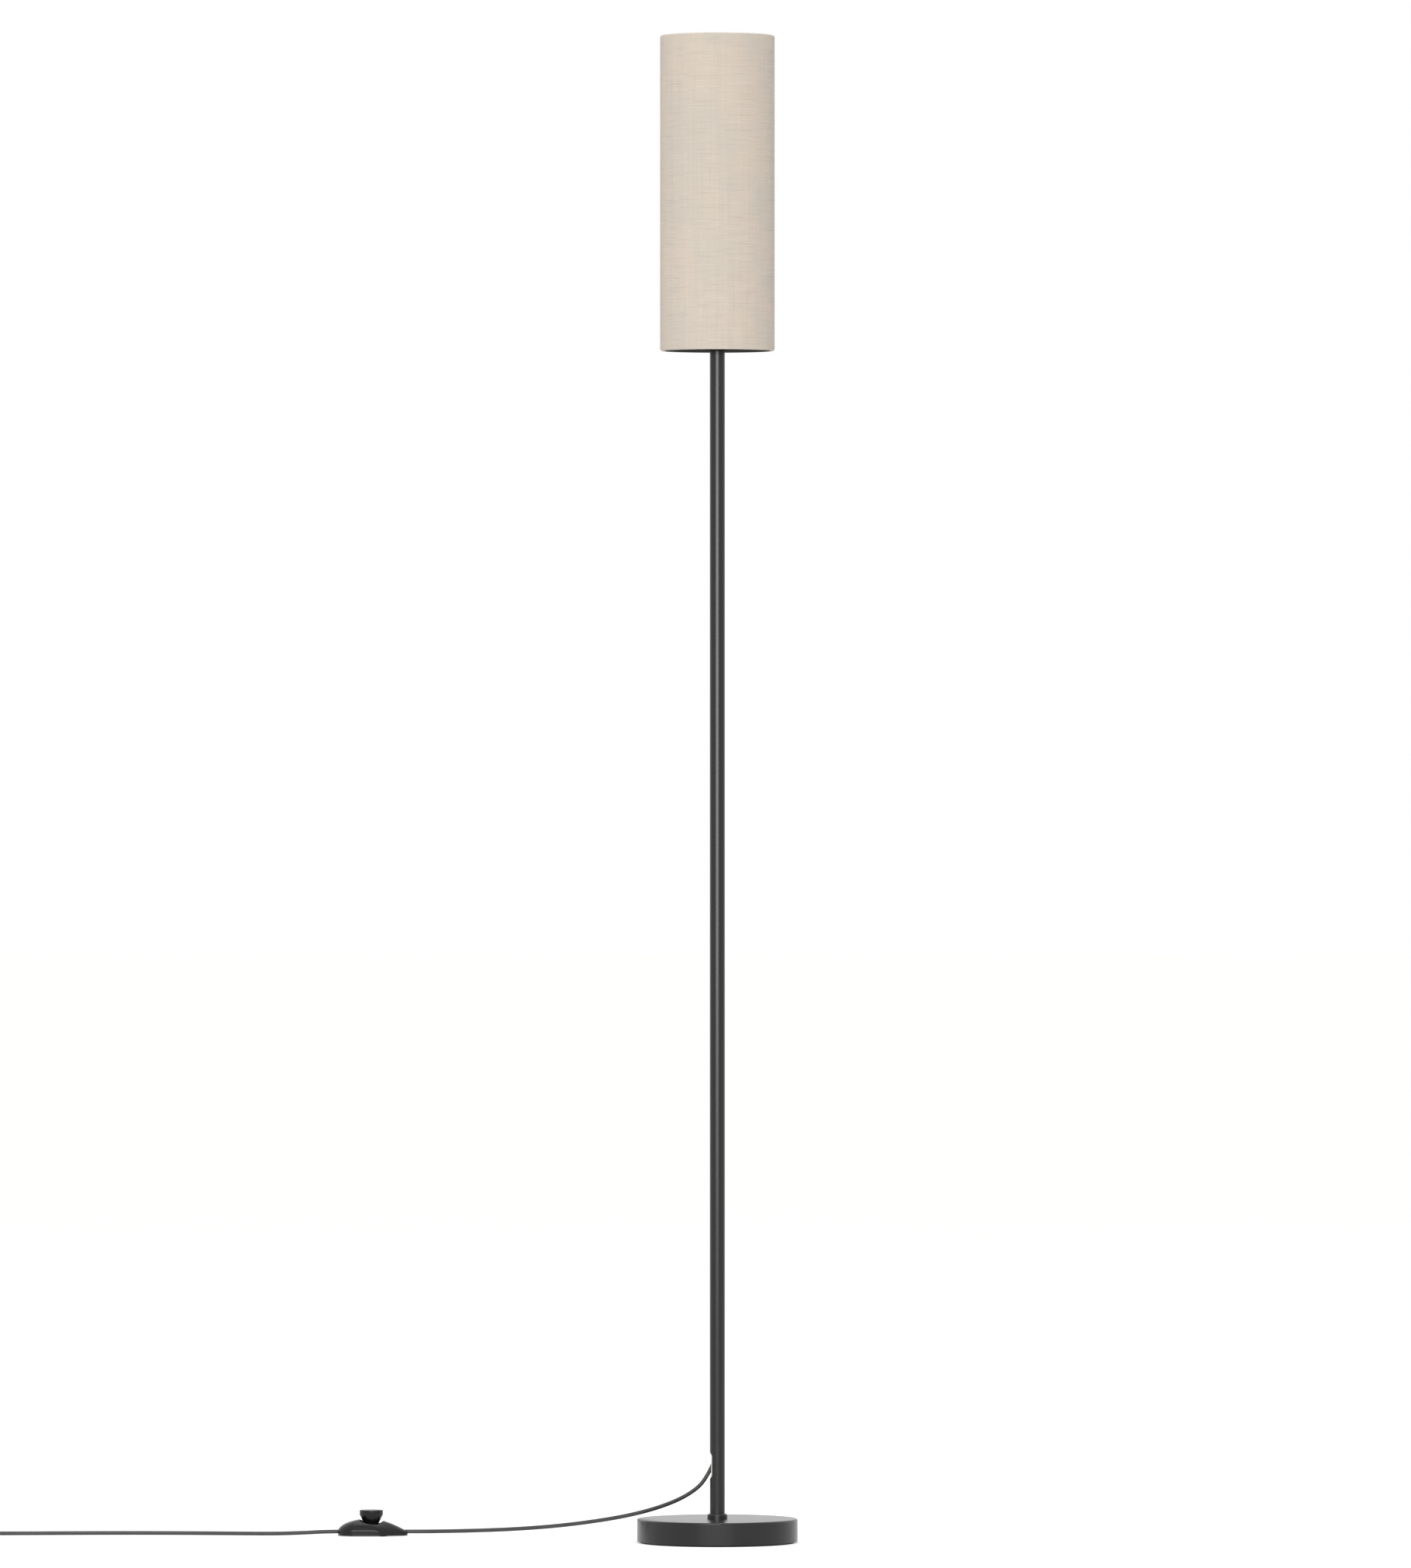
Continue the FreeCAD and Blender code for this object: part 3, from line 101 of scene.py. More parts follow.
def smooth(piece, angle=35.0):
    """Shades a piece smooth, but for the edges that are sharper than an angle."""
    pick(piece)
    bpy.ops.object.shade_smooth_by_angle(angle=math.radians(angle))


def turn(name, stations, sides=128, closed=False):
    """A piece turned about the lamp's axis: a ring of edges drawn out through (radius, height) stations.
    A radius of 0 ends in a point, and closed joins the last ring back to the first, as on a tube."""
    bpy.ops.object.select_all(action="DESELECT")
    bpy.ops.mesh.primitive_circle_add(vertices=sides, radius=max(stations[0][0], POINT),
                                      location=(0, 0, stations[0][1]))
    piece = bpy.context.object
    piece.name = name
    bpy.ops.object.transform_apply(location=True, rotation=True, scale=True)
    edit_all(piece)
    for (radius, height), (next_radius, next_height) in zip(stations, stations[1:]):
        bpy.ops.mesh.extrude_edges_move(TRANSFORM_OT_translate={"value": (0, 0, next_height - height)})
        share = max(next_radius, POINT) / max(radius, POINT)
        bpy.ops.transform.resize(value=(share, share, 1), center_override=(0, 0, next_height))
    if closed:
        bpy.ops.mesh.select_all(action="DESELECT")
        bpy.ops.mesh.select_non_manifold(extend=False)
        bpy.ops.mesh.bridge_edge_loops()
    tidy_mesh(piece)
    return piece


def radii(solid):
    """The nearest and the farthest that a solid's points lie from the lamp's axis."""
    reaches = [Vector((v.co.x, v.co.y)).length for v in nodes[solid].data.vertices]
    return min(reaches), max(reaches)


def shader_group(name, inputs, outputs):
    """An empty shader group from (name, socket type, value) inputs and (name, socket type) outputs."""
    group = bpy.data.node_groups.new(name, "ShaderNodeTree")
    for label, kind, value in inputs:
        group.interface.new_socket(name=label, in_out="INPUT", socket_type=kind).default_value = value
    for label, kind in outputs:
        group.interface.new_socket(name=label, in_out="OUTPUT", socket_type=kind)
    return group, group.nodes.new("NodeGroupInput"), group.nodes.new("NodeGroupOutput")


def feed(tree, entry, term):
    """Sets a node's input to a value, or links it to a socket."""
    if isinstance(term, bpy.types.NodeSocket):
        tree.links.new(term, entry)
    else:
        entry.default_value = term


def calculate(tree, operation, *terms, clamp=False):
    """A maths node over numbers and sockets."""
    step = tree.nodes.new("ShaderNodeMath")
    step.operation = operation
    step.use_clamp = clamp
    for entry, term in zip(step.inputs, terms):
        feed(tree, entry, term)
    return step.outputs[0]


def mixed(tree, share, colour_a, colour_b, blend="MIX"):
    """Blends two colours, each plain or a socket, by a share."""
    mix = tree.nodes.new("ShaderNodeMix")
    mix.data_type = "RGBA"
    mix.blend_type = blend
    feed(tree, mix.inputs[0], share)
    for entry, colour in ((mix.inputs[6], colour_a), (mix.inputs[7], colour_b)):
        feed(tree, entry, (*colour, 1) if isinstance(colour, tuple) else colour)
    return mix.outputs[2]


def cloud(tree, places, scale, detail, stretch=None):
    """Noise over coordinates, which a stretch can draw out along an axis."""
    if stretch is not None:
        times = tree.nodes.new("ShaderNodeVectorMath")
        times.operation = "MULTIPLY"
        feed(tree, times.inputs[0], places)
        feed(tree, times.inputs[1], stretch)
        places = times.outputs[0]
    noise = tree.nodes.new("ShaderNodeTexNoise")
    noise.inputs["Detail"].default_value = detail
    feed(tree, noise.inputs["Scale"], scale)
    feed(tree, noise.inputs["Vector"], places)
    return noise.outputs["Fac"]


def object_cloud(tree, given, detail, stretch=None):
    """Noise over the piece's own coordinates, at a group's Scale and spread about its middle by the
    group's Contrast, kept between 0 and 1."""
    places = tree.nodes.new("ShaderNodeTexCoord").outputs["Object"]
    value = cloud(tree, places, given.outputs["Scale"], detail, stretch)
    centred = calculate(tree, "SUBTRACT", value, 0.5)
    return calculate(tree, "MULTIPLY_ADD", centred, given.outputs["Contrast"], 0.5, clamp=True)


# Colour in soft patches between two tones, as in felt, castings, plating and moulded plastic.
patches, given, result = shader_group("tone_patches", [
    ("Dark", "NodeSocketColor", (0, 0, 0, 1)), ("Light", "NodeSocketColor", (1, 1, 1, 1)),
    ("Scale", "NodeSocketFloat", 40.0), ("Contrast", "NodeSocketFloat", 2.0)],
    [("Colour", "NodeSocketColor")])
feed(patches, result.inputs["Colour"], mixed(patches, object_cloud(patches, given, 4.0),
                                             given.outputs["Dark"], given.outputs["Light"]))

# Gloss that drifts between two roughnesses, as handled and wiped surfaces have.
gloss_drift, given, result = shader_group("gloss_drift", [
    ("Low", "NodeSocketFloat", 0.3), ("High", "NodeSocketFloat", 0.5), ("Scale", "NodeSocketFloat", 30.0),
    ("Contrast", "NodeSocketFloat", 2.5)],
    [("Roughness", "NodeSocketFloat")])
drift = gloss_drift.nodes.new("ShaderNodeMix")
feed(gloss_drift, drift.inputs[0], object_cloud(gloss_drift, given, 3.0))
feed(gloss_drift, drift.inputs[2], given.outputs["Low"])
feed(gloss_drift, drift.inputs[3], given.outputs["High"])
feed(gloss_drift, result.inputs["Roughness"], drift.outputs[0])

# Fine relief: the orange peel of lacquer, the spark-eroded skin of a moulding, drawn or brushed lines.
grain, given, result = shader_group("fine_grain", [
    ("Scale", "NodeSocketFloat", 1000.0), ("Stretch", "NodeSocketVector", (1, 1, 1)),
    ("Contrast", "NodeSocketFloat", 1.5)],
    [("Height", "NodeSocketFloat")])
feed(grain, result.inputs["Height"], object_cloud(grain, given, 3.0, given.outputs["Stretch"]))


def place_group(material, group, **values):
    """Puts a shader group in a material with the values of its inputs."""
    node = material.node_tree.nodes.new("ShaderNodeGroup")
    node.node_tree = group
    for label, value in values.items():
        node.inputs[label].default_value = value
    return node


def finish(name, dark, light, gloss, tone_scale=40.0, tone_contrast=2.0, gloss_scale=30.0,
           grain_scale=1200.0, grain_depth=0.00002, stretch=(1, 1, 1), **constants):
    """A surface finish: two tones, a gloss between two roughnesses and a fine relief. The constants
    are the shader's own, by name."""
    material = bpy.data.materials.new(name)
    material.use_nodes = True
    tree = material.node_tree
    shader = tree.nodes["Principled BSDF"]
    tones = place_group(material, patches, Dark=(*dark, 1), Light=(*light, 1), Scale=tone_scale,
                        Contrast=tone_contrast)
    tree.links.new(tones.outputs["Colour"], shader.inputs["Base Color"])
    shine = place_group(material, gloss_drift, Low=gloss[0], High=gloss[1], Scale=gloss_scale)
    tree.links.new(shine.outputs["Roughness"], shader.inputs["Roughness"])
    relief = place_group(material, grain, Scale=grain_scale, Stretch=stretch)
    bump = tree.nodes.new("ShaderNodeBump")
    bump.inputs["Strength"].default_value = 1.0
    bump.inputs["Distance"].default_value = grain_depth
    tree.links.new(relief.outputs["Height"], bump.inputs["Height"])
    tree.links.new(bump.outputs["Normal"], shader.inputs["Normal"])
    for label, value in constants.items():
        shader.inputs[label.replace("_", " ")].default_value = value
    return material


def fit(piece, body, slot, material, *stands_for):
    """Gives a finished piece its material and its body, and hides the solids that it stands for.
    The slot is not used.
    """
    piece.data.name = piece.name
    piece.data.materials.clear()
    piece.data.materials.append(material)
    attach(piece, body)
    if stands_for:
        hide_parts(*stands_for)
    return piece


def clothe(material, *names):
    """Gives solids that are kept a material."""
    for name in names:
        nodes[name].data.materials.clear()
        nodes[name].data.materials.append(material)


pad_low, pad_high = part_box("base_pad")
pad_bore = radii("base_pad")[0]
felt_pad = turn("felt_pad", [(pad_bore, pad_low.z), (pad_high.x, pad_low.z), (pad_high.x, pad_high.z),
                             (pad_bore, pad_high.z)], sides=144, closed=True)
round_edges(felt_pad, FELT_EDGE)
smooth(felt_pad)
felt = finish("needle_felt", FELT_DARK, FELT_LIGHT, (0.95, 1.0), tone_scale=900.0, tone_contrast=3.0,
              grain_scale=1600.0, grain_depth=0.00025, Specular_IOR_Level=0.15, Sheen_Weight=0.25,
              Sheen_Roughness=0.6)
fit(felt_pad, "lamp", "pad_felt", felt, "base_pad")

# ---- Base weight, cover and bolt ----
# A grey-iron disc, sand cast and primed, capped by a pressed steel cover in satin black lacquer. One
# zinc-plated bolt with a plain and a spring washer goes up through it into the pole's foot.
IRON_DARK = (0.030, 0.030, 0.032)
IRON_LIGHT = (0.062, 0.061, 0.060)
LACQUER_DARK = (0.0032, 0.0032, 0.0032)
LACQUER_LIGHT = (0.0052, 0.0052, 0.0052)
LACQUER_GLOSS = (0.215, 0.235)
ZINC_DARK = (0.46, 0.46, 0.44)
ZINC_LIGHT = (0.66, 0.66, 0.62)
BOLT_SHANK_RADIUS = 0.005
BOLT_PITCH = 0.0015
BOLT_THREAD_DEPTH = 0.0008
BOLT_CHAMFER = 0.0009
BOLT_FACE_SHARE = 0.86
BOLT_EDGE = 0.00025
BOLT_TIP = 0.001
HEX_CORNER = 2 / math.sqrt(3)


def cut_thread(piece, low, high, pitch, depth, radius, crest=0.5, fade=0.5):
    """Presses a thread into a turned wall: each point near the wall's radius moves in by its place in
    the pitch. crest is how round the thread is, and fade how many turns it takes to run out."""
    for vertex in piece.data.vertices:
        x, y = vertex.co.x, vertex.co.y
        reach = math.hypot(x, y)
        if abs(reach - radius) > depth * 0.5 or not low <= vertex.co.z <= high:
            continue
        phase = (vertex.co.z / pitch - math.atan2(y, x) / (2 * math.pi)) % 1.0
        wave = 0.5 - 0.5 * math.cos(2 * math.pi * phase)
        vee = 1 - abs(2 * phase - 1)
        run = min(vertex.co.z - low, high - vertex.co.z) / (pitch * fade)
        inward = depth * min(run, 1.0) * (crest * wave + (1 - crest) * vee)
        vertex.co.x -= x / reach * inward
        vertex.co.y -= y / reach * inward
    piece.data.update()


def rings(radius, low, high, step):
    """Stations of a straight wall, a step apart."""
    count = max(1, round((high - low) / step))
    return [(radius, low + (high - low) * k / count) for k in range(count + 1)]


bolt_low, bolt_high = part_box("base_bolt")
head_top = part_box("base_lock_washer")[0].z
head_flats = bolt_high.y
head_corner = head_flats * HEX_CORNER
base_bolt_head = turn("base_bolt_head", [
    (0, bolt_low.z), (head_flats * BOLT_FACE_SHARE, bolt_low.z), (head_corner, bolt_low.z + BOLT_CHAMFER),
    (head_corner, head_top), (0, head_top)], sides=6)
round_edges(base_bolt_head, BOLT_EDGE, segments=2)
smooth(base_bolt_head)
base_bolt_shank = turn("base_bolt_shank", [(0, head_top)]
                       + rings(BOLT_SHANK_RADIUS, head_top, bolt_high.z - BOLT_TIP, BOLT_PITCH / 8)
                       + [(BOLT_SHANK_RADIUS - BOLT_TIP, bolt_high.z), (0, bolt_high.z)], sides=40)
cut_thread(base_bolt_shank, head_top + BOLT_PITCH, bolt_high.z, BOLT_PITCH, BOLT_THREAD_DEPTH,
           BOLT_SHANK_RADIUS, crest=0.3)
smooth(base_bolt_shank, 60)
cast_iron = finish("cast_iron", IRON_DARK, IRON_LIGHT, (0.62, 0.85), tone_scale=60.0,
                   grain_scale=700.0, grain_depth=0.0003, Metallic=0.3)
lacquer = finish("satin_black_lacquer", LACQUER_DARK, LACQUER_LIGHT, LACQUER_GLOSS, tone_scale=25.0,
                 gloss_scale=9.0, grain_scale=420.0, grain_depth=0.0000006)
zinc = finish("zinc_plate", ZINC_DARK, ZINC_LIGHT, (0.28, 0.42), tone_scale=260.0, grain_scale=2500.0,
              grain_depth=0.00001, Metallic=1.0)
clothe(cast_iron, "base_weight")
clothe(lacquer, "base_cover", "pole_collar")
clothe(zinc, "base_washer", "base_lock_washer", "pole_foot_plug", "pole_top_plug")
fit(base_bolt_head, "lamp", "zinc_steel", zinc, "base_bolt")
fit(base_bolt_shank, "lamp", "zinc_steel", zinc, "base_bolt")

# ---- Pole ----
# A welded steel tube, lacquered satin black like the base, with one obround slot milled in its left
# side above the base. A pale nylon bushing lines the slot.
POLE_SIDES = 128
POLE_WALL = 0.001
SLOT_WIDTH = 0.0106
SLOT_HEIGHT = 0.0276
SLOT_MARGIN = 0.010
SLOT_CUT_START = -0.002
SLOT_CUT_END = 0.012

pole_low, pole_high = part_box("pole_tube")
pole_radius = pole_high.x
bushing_low, bushing_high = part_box("cord_bushing")
slot_centre_z = (bushing_low.z + bushing_high.z) / 2
slot_low = slot_centre_z - SLOT_HEIGHT / 2
slot_high = slot_centre_z + SLOT_HEIGHT / 2
pole = turn("pole", [
    (pole_radius - POLE_WALL, pole_low.z), (pole_radius, pole_low.z),
    (pole_radius, slot_low - SLOT_MARGIN), (pole_radius, slot_high + SLOT_MARGIN),
    (pole_radius, pole_high.z), (pole_radius - POLE_WALL, pole_high.z),
    (pole_radius - POLE_WALL, slot_high + SLOT_MARGIN), (pole_radius - POLE_WALL, slot_low - SLOT_MARGIN)],
    sides=POLE_SIDES, closed=True)
slot_cutter = turn("slot_cutter", [(0, SLOT_CUT_START), (SLOT_WIDTH / 2, SLOT_CUT_START),
                                   (SLOT_WIDTH / 2, SLOT_CUT_END), (0, SLOT_CUT_END)], sides=48)
edit_all(slot_cutter)
bpy.ops.transform.rotate(value=math.radians(90), orient_axis="Y", center_override=(0, 0, 0))
bpy.ops.object.mode_set(mode="OBJECT")
for vertex in slot_cutter.data.vertices:
    vertex.co.z += slot_centre_z + math.copysign((SLOT_HEIGHT - SLOT_WIDTH) / 2, vertex.co.z)
slot = pole.modifiers.new("slot", "BOOLEAN")
slot.operation = "DIFFERENCE"
slot.object = slot_cutter
slot.solver = "EXACT"
apply_modifiers(pole)
bpy.data.objects.remove(slot_cutter)
smooth(pole, 40)
fit(pole, "lamp", "black_lacquer", lacquer, "pole_tube")
bushing_plastic = finish("bushing_nylon", (0.70, 0.67, 0.61), (0.82, 0.80, 0.75), (0.35, 0.45),
                         tone_scale=300.0, grain_scale=2000.0, grain_depth=0.00001)
clothe(bushing_plastic, "cord_bushing")

# ---- The cord inside the pole ----
# The lamp's cord before it comes out: from the lampholder's foot straight down the tube, then round a
# gentle bend into the slot. A black PVC sheath over two cores.
CORD_RADIUS = 0.002
CORD_DARK = (0.040, 0.040, 0.040)
CORD_LIGHT = (0.056, 0.056, 0.056)
SLOT_EXIT = (-0.0075, 0.0, 0.072)
pvc = finish("cord_pvc", CORD_DARK, CORD_LIGHT, (0.32, 0.44), tone_scale=90.0, gloss_scale=60.0,
             grain_scale=1500.0, grain_depth=0.00002)


def lay_cord(name, points, radius, material, slot_name, *stands_for):
    """A round cord or core along one smooth spline with the route's points as its control points."""
    data = bpy.data.curves.new(name, "CURVE")
    data.dimensions = "3D"
    data.bevel_depth = radius
    data.bevel_resolution = 5
    data.resolution_u = 10
    data.use_fill_caps = True
    spline = data.splines.new("NURBS")
    spline.points.add(len(points) - 1)
    for control, point in zip(spline.points, points):
        control.co = (*point, 1.0)
    spline.order_u = 3
    spline.use_endpoint_u = True
    piece = bpy.data.objects.new(name, data)
    bpy.context.scene.collection.objects.link(piece)
    return fit(piece, "lamp", slot_name, material, *stands_for)


lay_cord("cord_in_pole_sheath", [
    (0.0, 0.0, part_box("cord_in_pole")[1].z), (0.0, 0.0, 0.70), (0.0, 0.0, 0.20), (0.0, 0.0, 0.108),
    (0.0, 0.0, 0.08625), SLOT_EXIT], CORD_RADIUS, pvc, "cord_black", "cord_in_pole")

# ---- The cord from the slot to the foot switch ----
# The same sheath, hanging from the slot in one long curve down to the floor, behind and to the left,
# and into the switch's nose, where a bar clamps it.
SWITCH_Y = 0.118
CORD_HEIGHT = 0.0045
cord_to_switch = lay_cord("cord_lamp_to_switch", [
    SLOT_EXIT, (-0.0125, 0.0, 0.0625), (-0.021, 0.0008, 0.0533), (-0.037, 0.0031, 0.0432),
    (-0.060, 0.0095, 0.034), (-0.088, 0.0207, 0.026), (-0.122, 0.038, 0.0192),
    (-0.160, 0.060, 0.0133), (-0.200, 0.083, 0.009), (-0.240, 0.1025, 0.0063),
    (-0.280, 0.115, 0.0048), (-0.2999, SWITCH_Y, CORD_HEIGHT), (-0.3246, SWITCH_Y, CORD_HEIGHT)],
    CORD_RADIUS, pvc, "cord_black", "cord_to_switch")

# ---- The mains cord from the switch to the plug ----
# It leaves the switch's tail and lies along the floor out of the picture. Its spare length is wound
# there in a round coil of four layers, and its end comes down off the coil to the plug.
COIL_X = -0.790
COIL_Y = 0.101
COIL_OUTER_RADIUS = 0.0265
COIL_PITCH = 0.0045
COIL_TURNS_PER_LAYER = 2
COIL_LAYERS = 4
COIL_TURNS = 8.25
COIL_POINTS_PER_TURN = 24
COIL_CLIMB_TURNS = 0.5
COIL_LEAD = 0.004
HEADING_STEP = 0.001
TAIL_LEAD = 0.017
PLUG_LEAD = 0.018


def coil_point(turns):
    """A point of the coil after so many turns: in and out again, a layer higher each time."""
    layer = int(turns // COIL_TURNS_PER_LAYER)
    along = turns - layer * COIL_TURNS_PER_LAYER
    if layer >= COIL_LAYERS:
        radius = COIL_OUTER_RADIUS + COIL_PITCH * along
    elif layer % 2 == 0:
        radius = COIL_OUTER_RADIUS - COIL_PITCH * along
    else:
        radius = COIL_OUTER_RADIUS - COIL_PITCH * (COIL_TURNS_PER_LAYER - along)
    level = 0.0
    for step in range(1, COIL_LAYERS):
        share = min(max((turns - step * COIL_TURNS_PER_LAYER) / COIL_CLIMB_TURNS + 0.5, 0.0), 1.0)
        level += share * share * (3 - 2 * share)
    angle = math.pi / 2 + 2 * math.pi * turns
    return Vector((COIL_X + radius * math.cos(angle), COIL_Y + radius * math.sin(angle),
                   CORD_RADIUS + COIL_PITCH * level))


coil_count = int(COIL_TURNS * COIL_POINTS_PER_TURN)
coil = [coil_point(COIL_TURNS * k / coil_count) for k in range(coil_count + 1)]
coil_heading = (coil_point(COIL_TURNS) - coil_point(COIL_TURNS - HEADING_STEP)).normalized()
coil_out = coil[-1] + coil_heading * COIL_LEAD
PLUG_HEADING = Vector((-0.21644, -0.97630, 0.0))
CORD_END = Vector((-0.83303, 0.00786, 0.00685))
tail = [coil_out, coil_out + coil_heading * TAIL_LEAD, coil_out + Vector((-0.0034, -0.035, -0.0030)),
        coil_out + Vector((-0.0075, -0.054, -0.0064)), CORD_END - PLUG_HEADING * PLUG_LEAD, CORD_END]
cord_to_plug = lay_cord("cord_switch_to_plug", [
    (-0.3694, SWITCH_Y, CORD_HEIGHT), (-0.392, SWITCH_Y, CORD_HEIGHT), (-0.415, 0.1196, 0.0031),
    (-0.446, 0.1234, 0.002), (-0.488, 0.1296, 0.002), (-0.538, 0.1352, 0.002),
    (-0.592, 0.1372, 0.002), (-0.645, 0.1348, 0.002), (-0.690, 0.131, 0.002),
    (-0.728, 0.1288, 0.002), (-0.758, 0.1285, 0.002)] + coil + tail,
    CORD_RADIUS, pvc, "cord_black", "cord_from_switch", "cord_coil", "cord_tail")

# ---- Plate, nipple and nut on top of the pole ----
# A matt black steel disc that closes the shade below, clamped on the pole's threaded insert by a short
# threaded tube, a washer and a hexagon nut, all zinc plated.
matt_lacquer = finish("matt_black_lacquer", LACQUER_DARK, LACQUER_LIGHT, (0.70, 0.80), tone_scale=25.0,
                      grain_scale=900.0, grain_depth=0.00001, Specular_IOR_Level=0.05)
clothe(matt_lacquer, "shade_plate")
clothe(zinc, "holder_nipple", "nipple_washer", "nipple_nut")

# ---- Lampholder ----
# A black moulded screw holder: the cap threads on the nipple and is locked by a nylon set screw. Inside
# it a ceramic block carries two brass contacts, and the skirt above has a coarse thread outside.
MOULDED_DARK = (0.010, 0.010, 0.010)
MOULDED_LIGHT = (0.017, 0.017, 0.017)
CAP_FOOT_RADIUS = 0.012
CAP_RADIUS = 0.0195
CAP_SHOULDER = 0.009
CAP_LIP = 0.0025
CAP_FLOOR = 0.008
CAP_WALL = 0.002
CAP_EDGE = 0.0005
NIPPLE_RADIUS = 0.005
SKIRT_PITCH = 0.0030
SKIRT_THREAD_DEPTH = 0.0008
SKIRT_THREAD_START = 0.0005
SKIRT_THREAD_END = 0.0008

cap_low, cap_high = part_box("holder_cap")
insert_low, insert_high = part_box("holder_insert")
skirt_low, skirt_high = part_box("holder_sleeve")
skirt_radius = skirt_high.x
skirt_bore = radii("holder_sleeve")[0]
cap_floor = cap_low.z + CAP_FLOOR
cavity_radius = CAP_RADIUS - CAP_WALL
holder_cap = turn("holder_cap_moulding", [
    (NIPPLE_RADIUS, cap_low.z), (CAP_FOOT_RADIUS, cap_low.z), (CAP_RADIUS, cap_low.z + CAP_SHOULDER),
    (CAP_RADIUS, cap_high.z - CAP_LIP), (cap_high.x, cap_high.z - CAP_LIP), (cap_high.x, cap_high.z),
    (insert_high.x, cap_high.z), (insert_high.x, insert_low.z), (cavity_radius, insert_low.z),
    (cavity_radius, cap_floor + CAP_WALL), (CAP_FOOT_RADIUS, cap_floor), (NIPPLE_RADIUS, cap_floor)],
    sides=96, closed=True)
round_edges(holder_cap, CAP_EDGE)
smooth(holder_cap)
holder_skirt = turn("holder_threaded_skirt", [(skirt_bore, skirt_low.z)]
                    + rings(skirt_radius, skirt_low.z, skirt_high.z, SKIRT_PITCH / 10)
                    + [(skirt_bore, skirt_high.z)], sides=96, closed=True)
cut_thread(holder_skirt, skirt_low.z + SKIRT_THREAD_START, skirt_high.z - SKIRT_THREAD_END, SKIRT_PITCH,
           SKIRT_THREAD_DEPTH, skirt_radius, crest=0.7)
smooth(holder_skirt, 50)
moulded_black = finish("moulded_black", MOULDED_DARK, MOULDED_LIGHT, (0.34, 0.46), tone_scale=70.0,
                       grain_scale=1300.0, grain_depth=0.00003)
ceramic = finish("unglazed_ceramic", (0.60, 0.58, 0.53), (0.74, 0.73, 0.69), (0.55, 0.75),
                 tone_scale=220.0, grain_scale=1800.0, grain_depth=0.00005)
brass = finish("pressed_brass", (0.50, 0.33, 0.11), (0.70, 0.50, 0.20), (0.24, 0.38), tone_scale=300.0,
               grain_scale=2600.0, grain_depth=0.00001, Metallic=1.0)
nylon = finish("natural_nylon", (0.60, 0.59, 0.55), (0.70, 0.69, 0.65), (0.40, 0.55), tone_scale=300.0,
               grain_scale=2200.0)
brown_insulation = finish("brown_core", (0.040, 0.014, 0.006), (0.065, 0.024, 0.010), (0.28, 0.38),
                          grain_scale=2600.0, grain_depth=0.00001)
blue_insulation = finish("blue_core", (0.006, 0.045, 0.26), (0.010, 0.070, 0.36), (0.28, 0.38),
                         grain_scale=2600.0, grain_depth=0.00001)
fit(holder_cap, "lamp", "holder_black", moulded_black, "holder_cap")
fit(holder_skirt, "lamp", "holder_black", moulded_black, "holder_sleeve")
clothe(ceramic, "holder_insert")
clothe(brass, "holder_centre_contact", "holder_side_contact")
clothe(nylon, "holder_grip_screw")

# ---- The two cores inside the lampholder ----
# Brown and blue PVC over stranded copper: they part where the sheath ends and go up through the
# ceramic block to the contacts.
CORE_RADIUS = 0.00095
CORE_START_X = 0.0010
CORE_HOLE = (0.0065, -0.004)
CORE_STRAIGHT = 0.0025
CORE_GATHER = 0.004
for side, name, insulation, core_slot, solid in (
        (1, "live_core_wire", brown_insulation, "core_brown", "live_core"),
        (-1, "neutral_core_wire", blue_insulation, "core_blue", "neutral_core")):
    core_low, core_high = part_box(solid)
    hole_x = side * CORE_HOLE[0]
    lay_cord(name, [
        (side * CORE_START_X, 0.0, core_low.z), (side * CORE_START_X, 0.0, core_low.z + CORE_STRAIGHT),
        (hole_x, CORE_HOLE[1], insert_low.z - CORE_GATHER), (hole_x, CORE_HOLE[1], core_high.z)],
        CORE_RADIUS, insulation, core_slot, solid)

# ---- Shade frame: top ring, bottom ring with three arms and a hub ----
# Steel wire butt-welded into rings. The bottom ring carries three bent arms, welded to a pressed hub
# that drops over the lampholder's skirt. All of it is white powder coated.
WIRE_RADIUS = 0.0012
ARM_COUNT = 3
ARM_KNEE_INSET = 0.0109
ARM_BEND = 0.008
HUB_THICKNESS = 0.0015
HUB_RADIUS = 0.025
HUB_BORE = 0.0205
HUB_EDGE = 0.0003
WIRE_SIDES = 20
RING_SEGMENTS = 192
BEND_STEPS = 8

powder_coat = finish("white_powder_coat", (0.66, 0.66, 0.64), (0.76, 0.76, 0.74), (0.38, 0.50),
                     tone_scale=120.0, grain_scale=1100.0, grain_depth=0.00004)
clothe(powder_coat, "shade_top_ring")
top_ring_low, top_ring_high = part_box("shade_top_ring")
ring_radius = top_ring_high.x - WIRE_RADIUS
top_ring_z = top_ring_low.z + WIRE_RADIUS
bottom_ring_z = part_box("shade_gallery")[0].z + WIRE_RADIUS
hub_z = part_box("shade_gallery")[1].z - HUB_THICKNESS
bpy.ops.object.select_all(action="DESELECT")
bpy.ops.mesh.primitive_torus_add(major_segments=RING_SEGMENTS, minor_segments=WIRE_SIDES,
                                 major_radius=ring_radius, minor_radius=WIRE_RADIUS,
                                 location=(0, 0, bottom_ring_z))
bottom_ring = bpy.context.object
bottom_ring.name = "gallery_bottom_ring"
bpy.ops.object.transform_apply(location=True)
hub = turn("gallery_hub", [(HUB_BORE, hub_z), (HUB_RADIUS, hub_z), (HUB_RADIUS, hub_z + HUB_THICKNESS),
                           (HUB_BORE, hub_z + HUB_THICKNESS)], sides=96, closed=True)
round_edges(hub, HUB_EDGE)

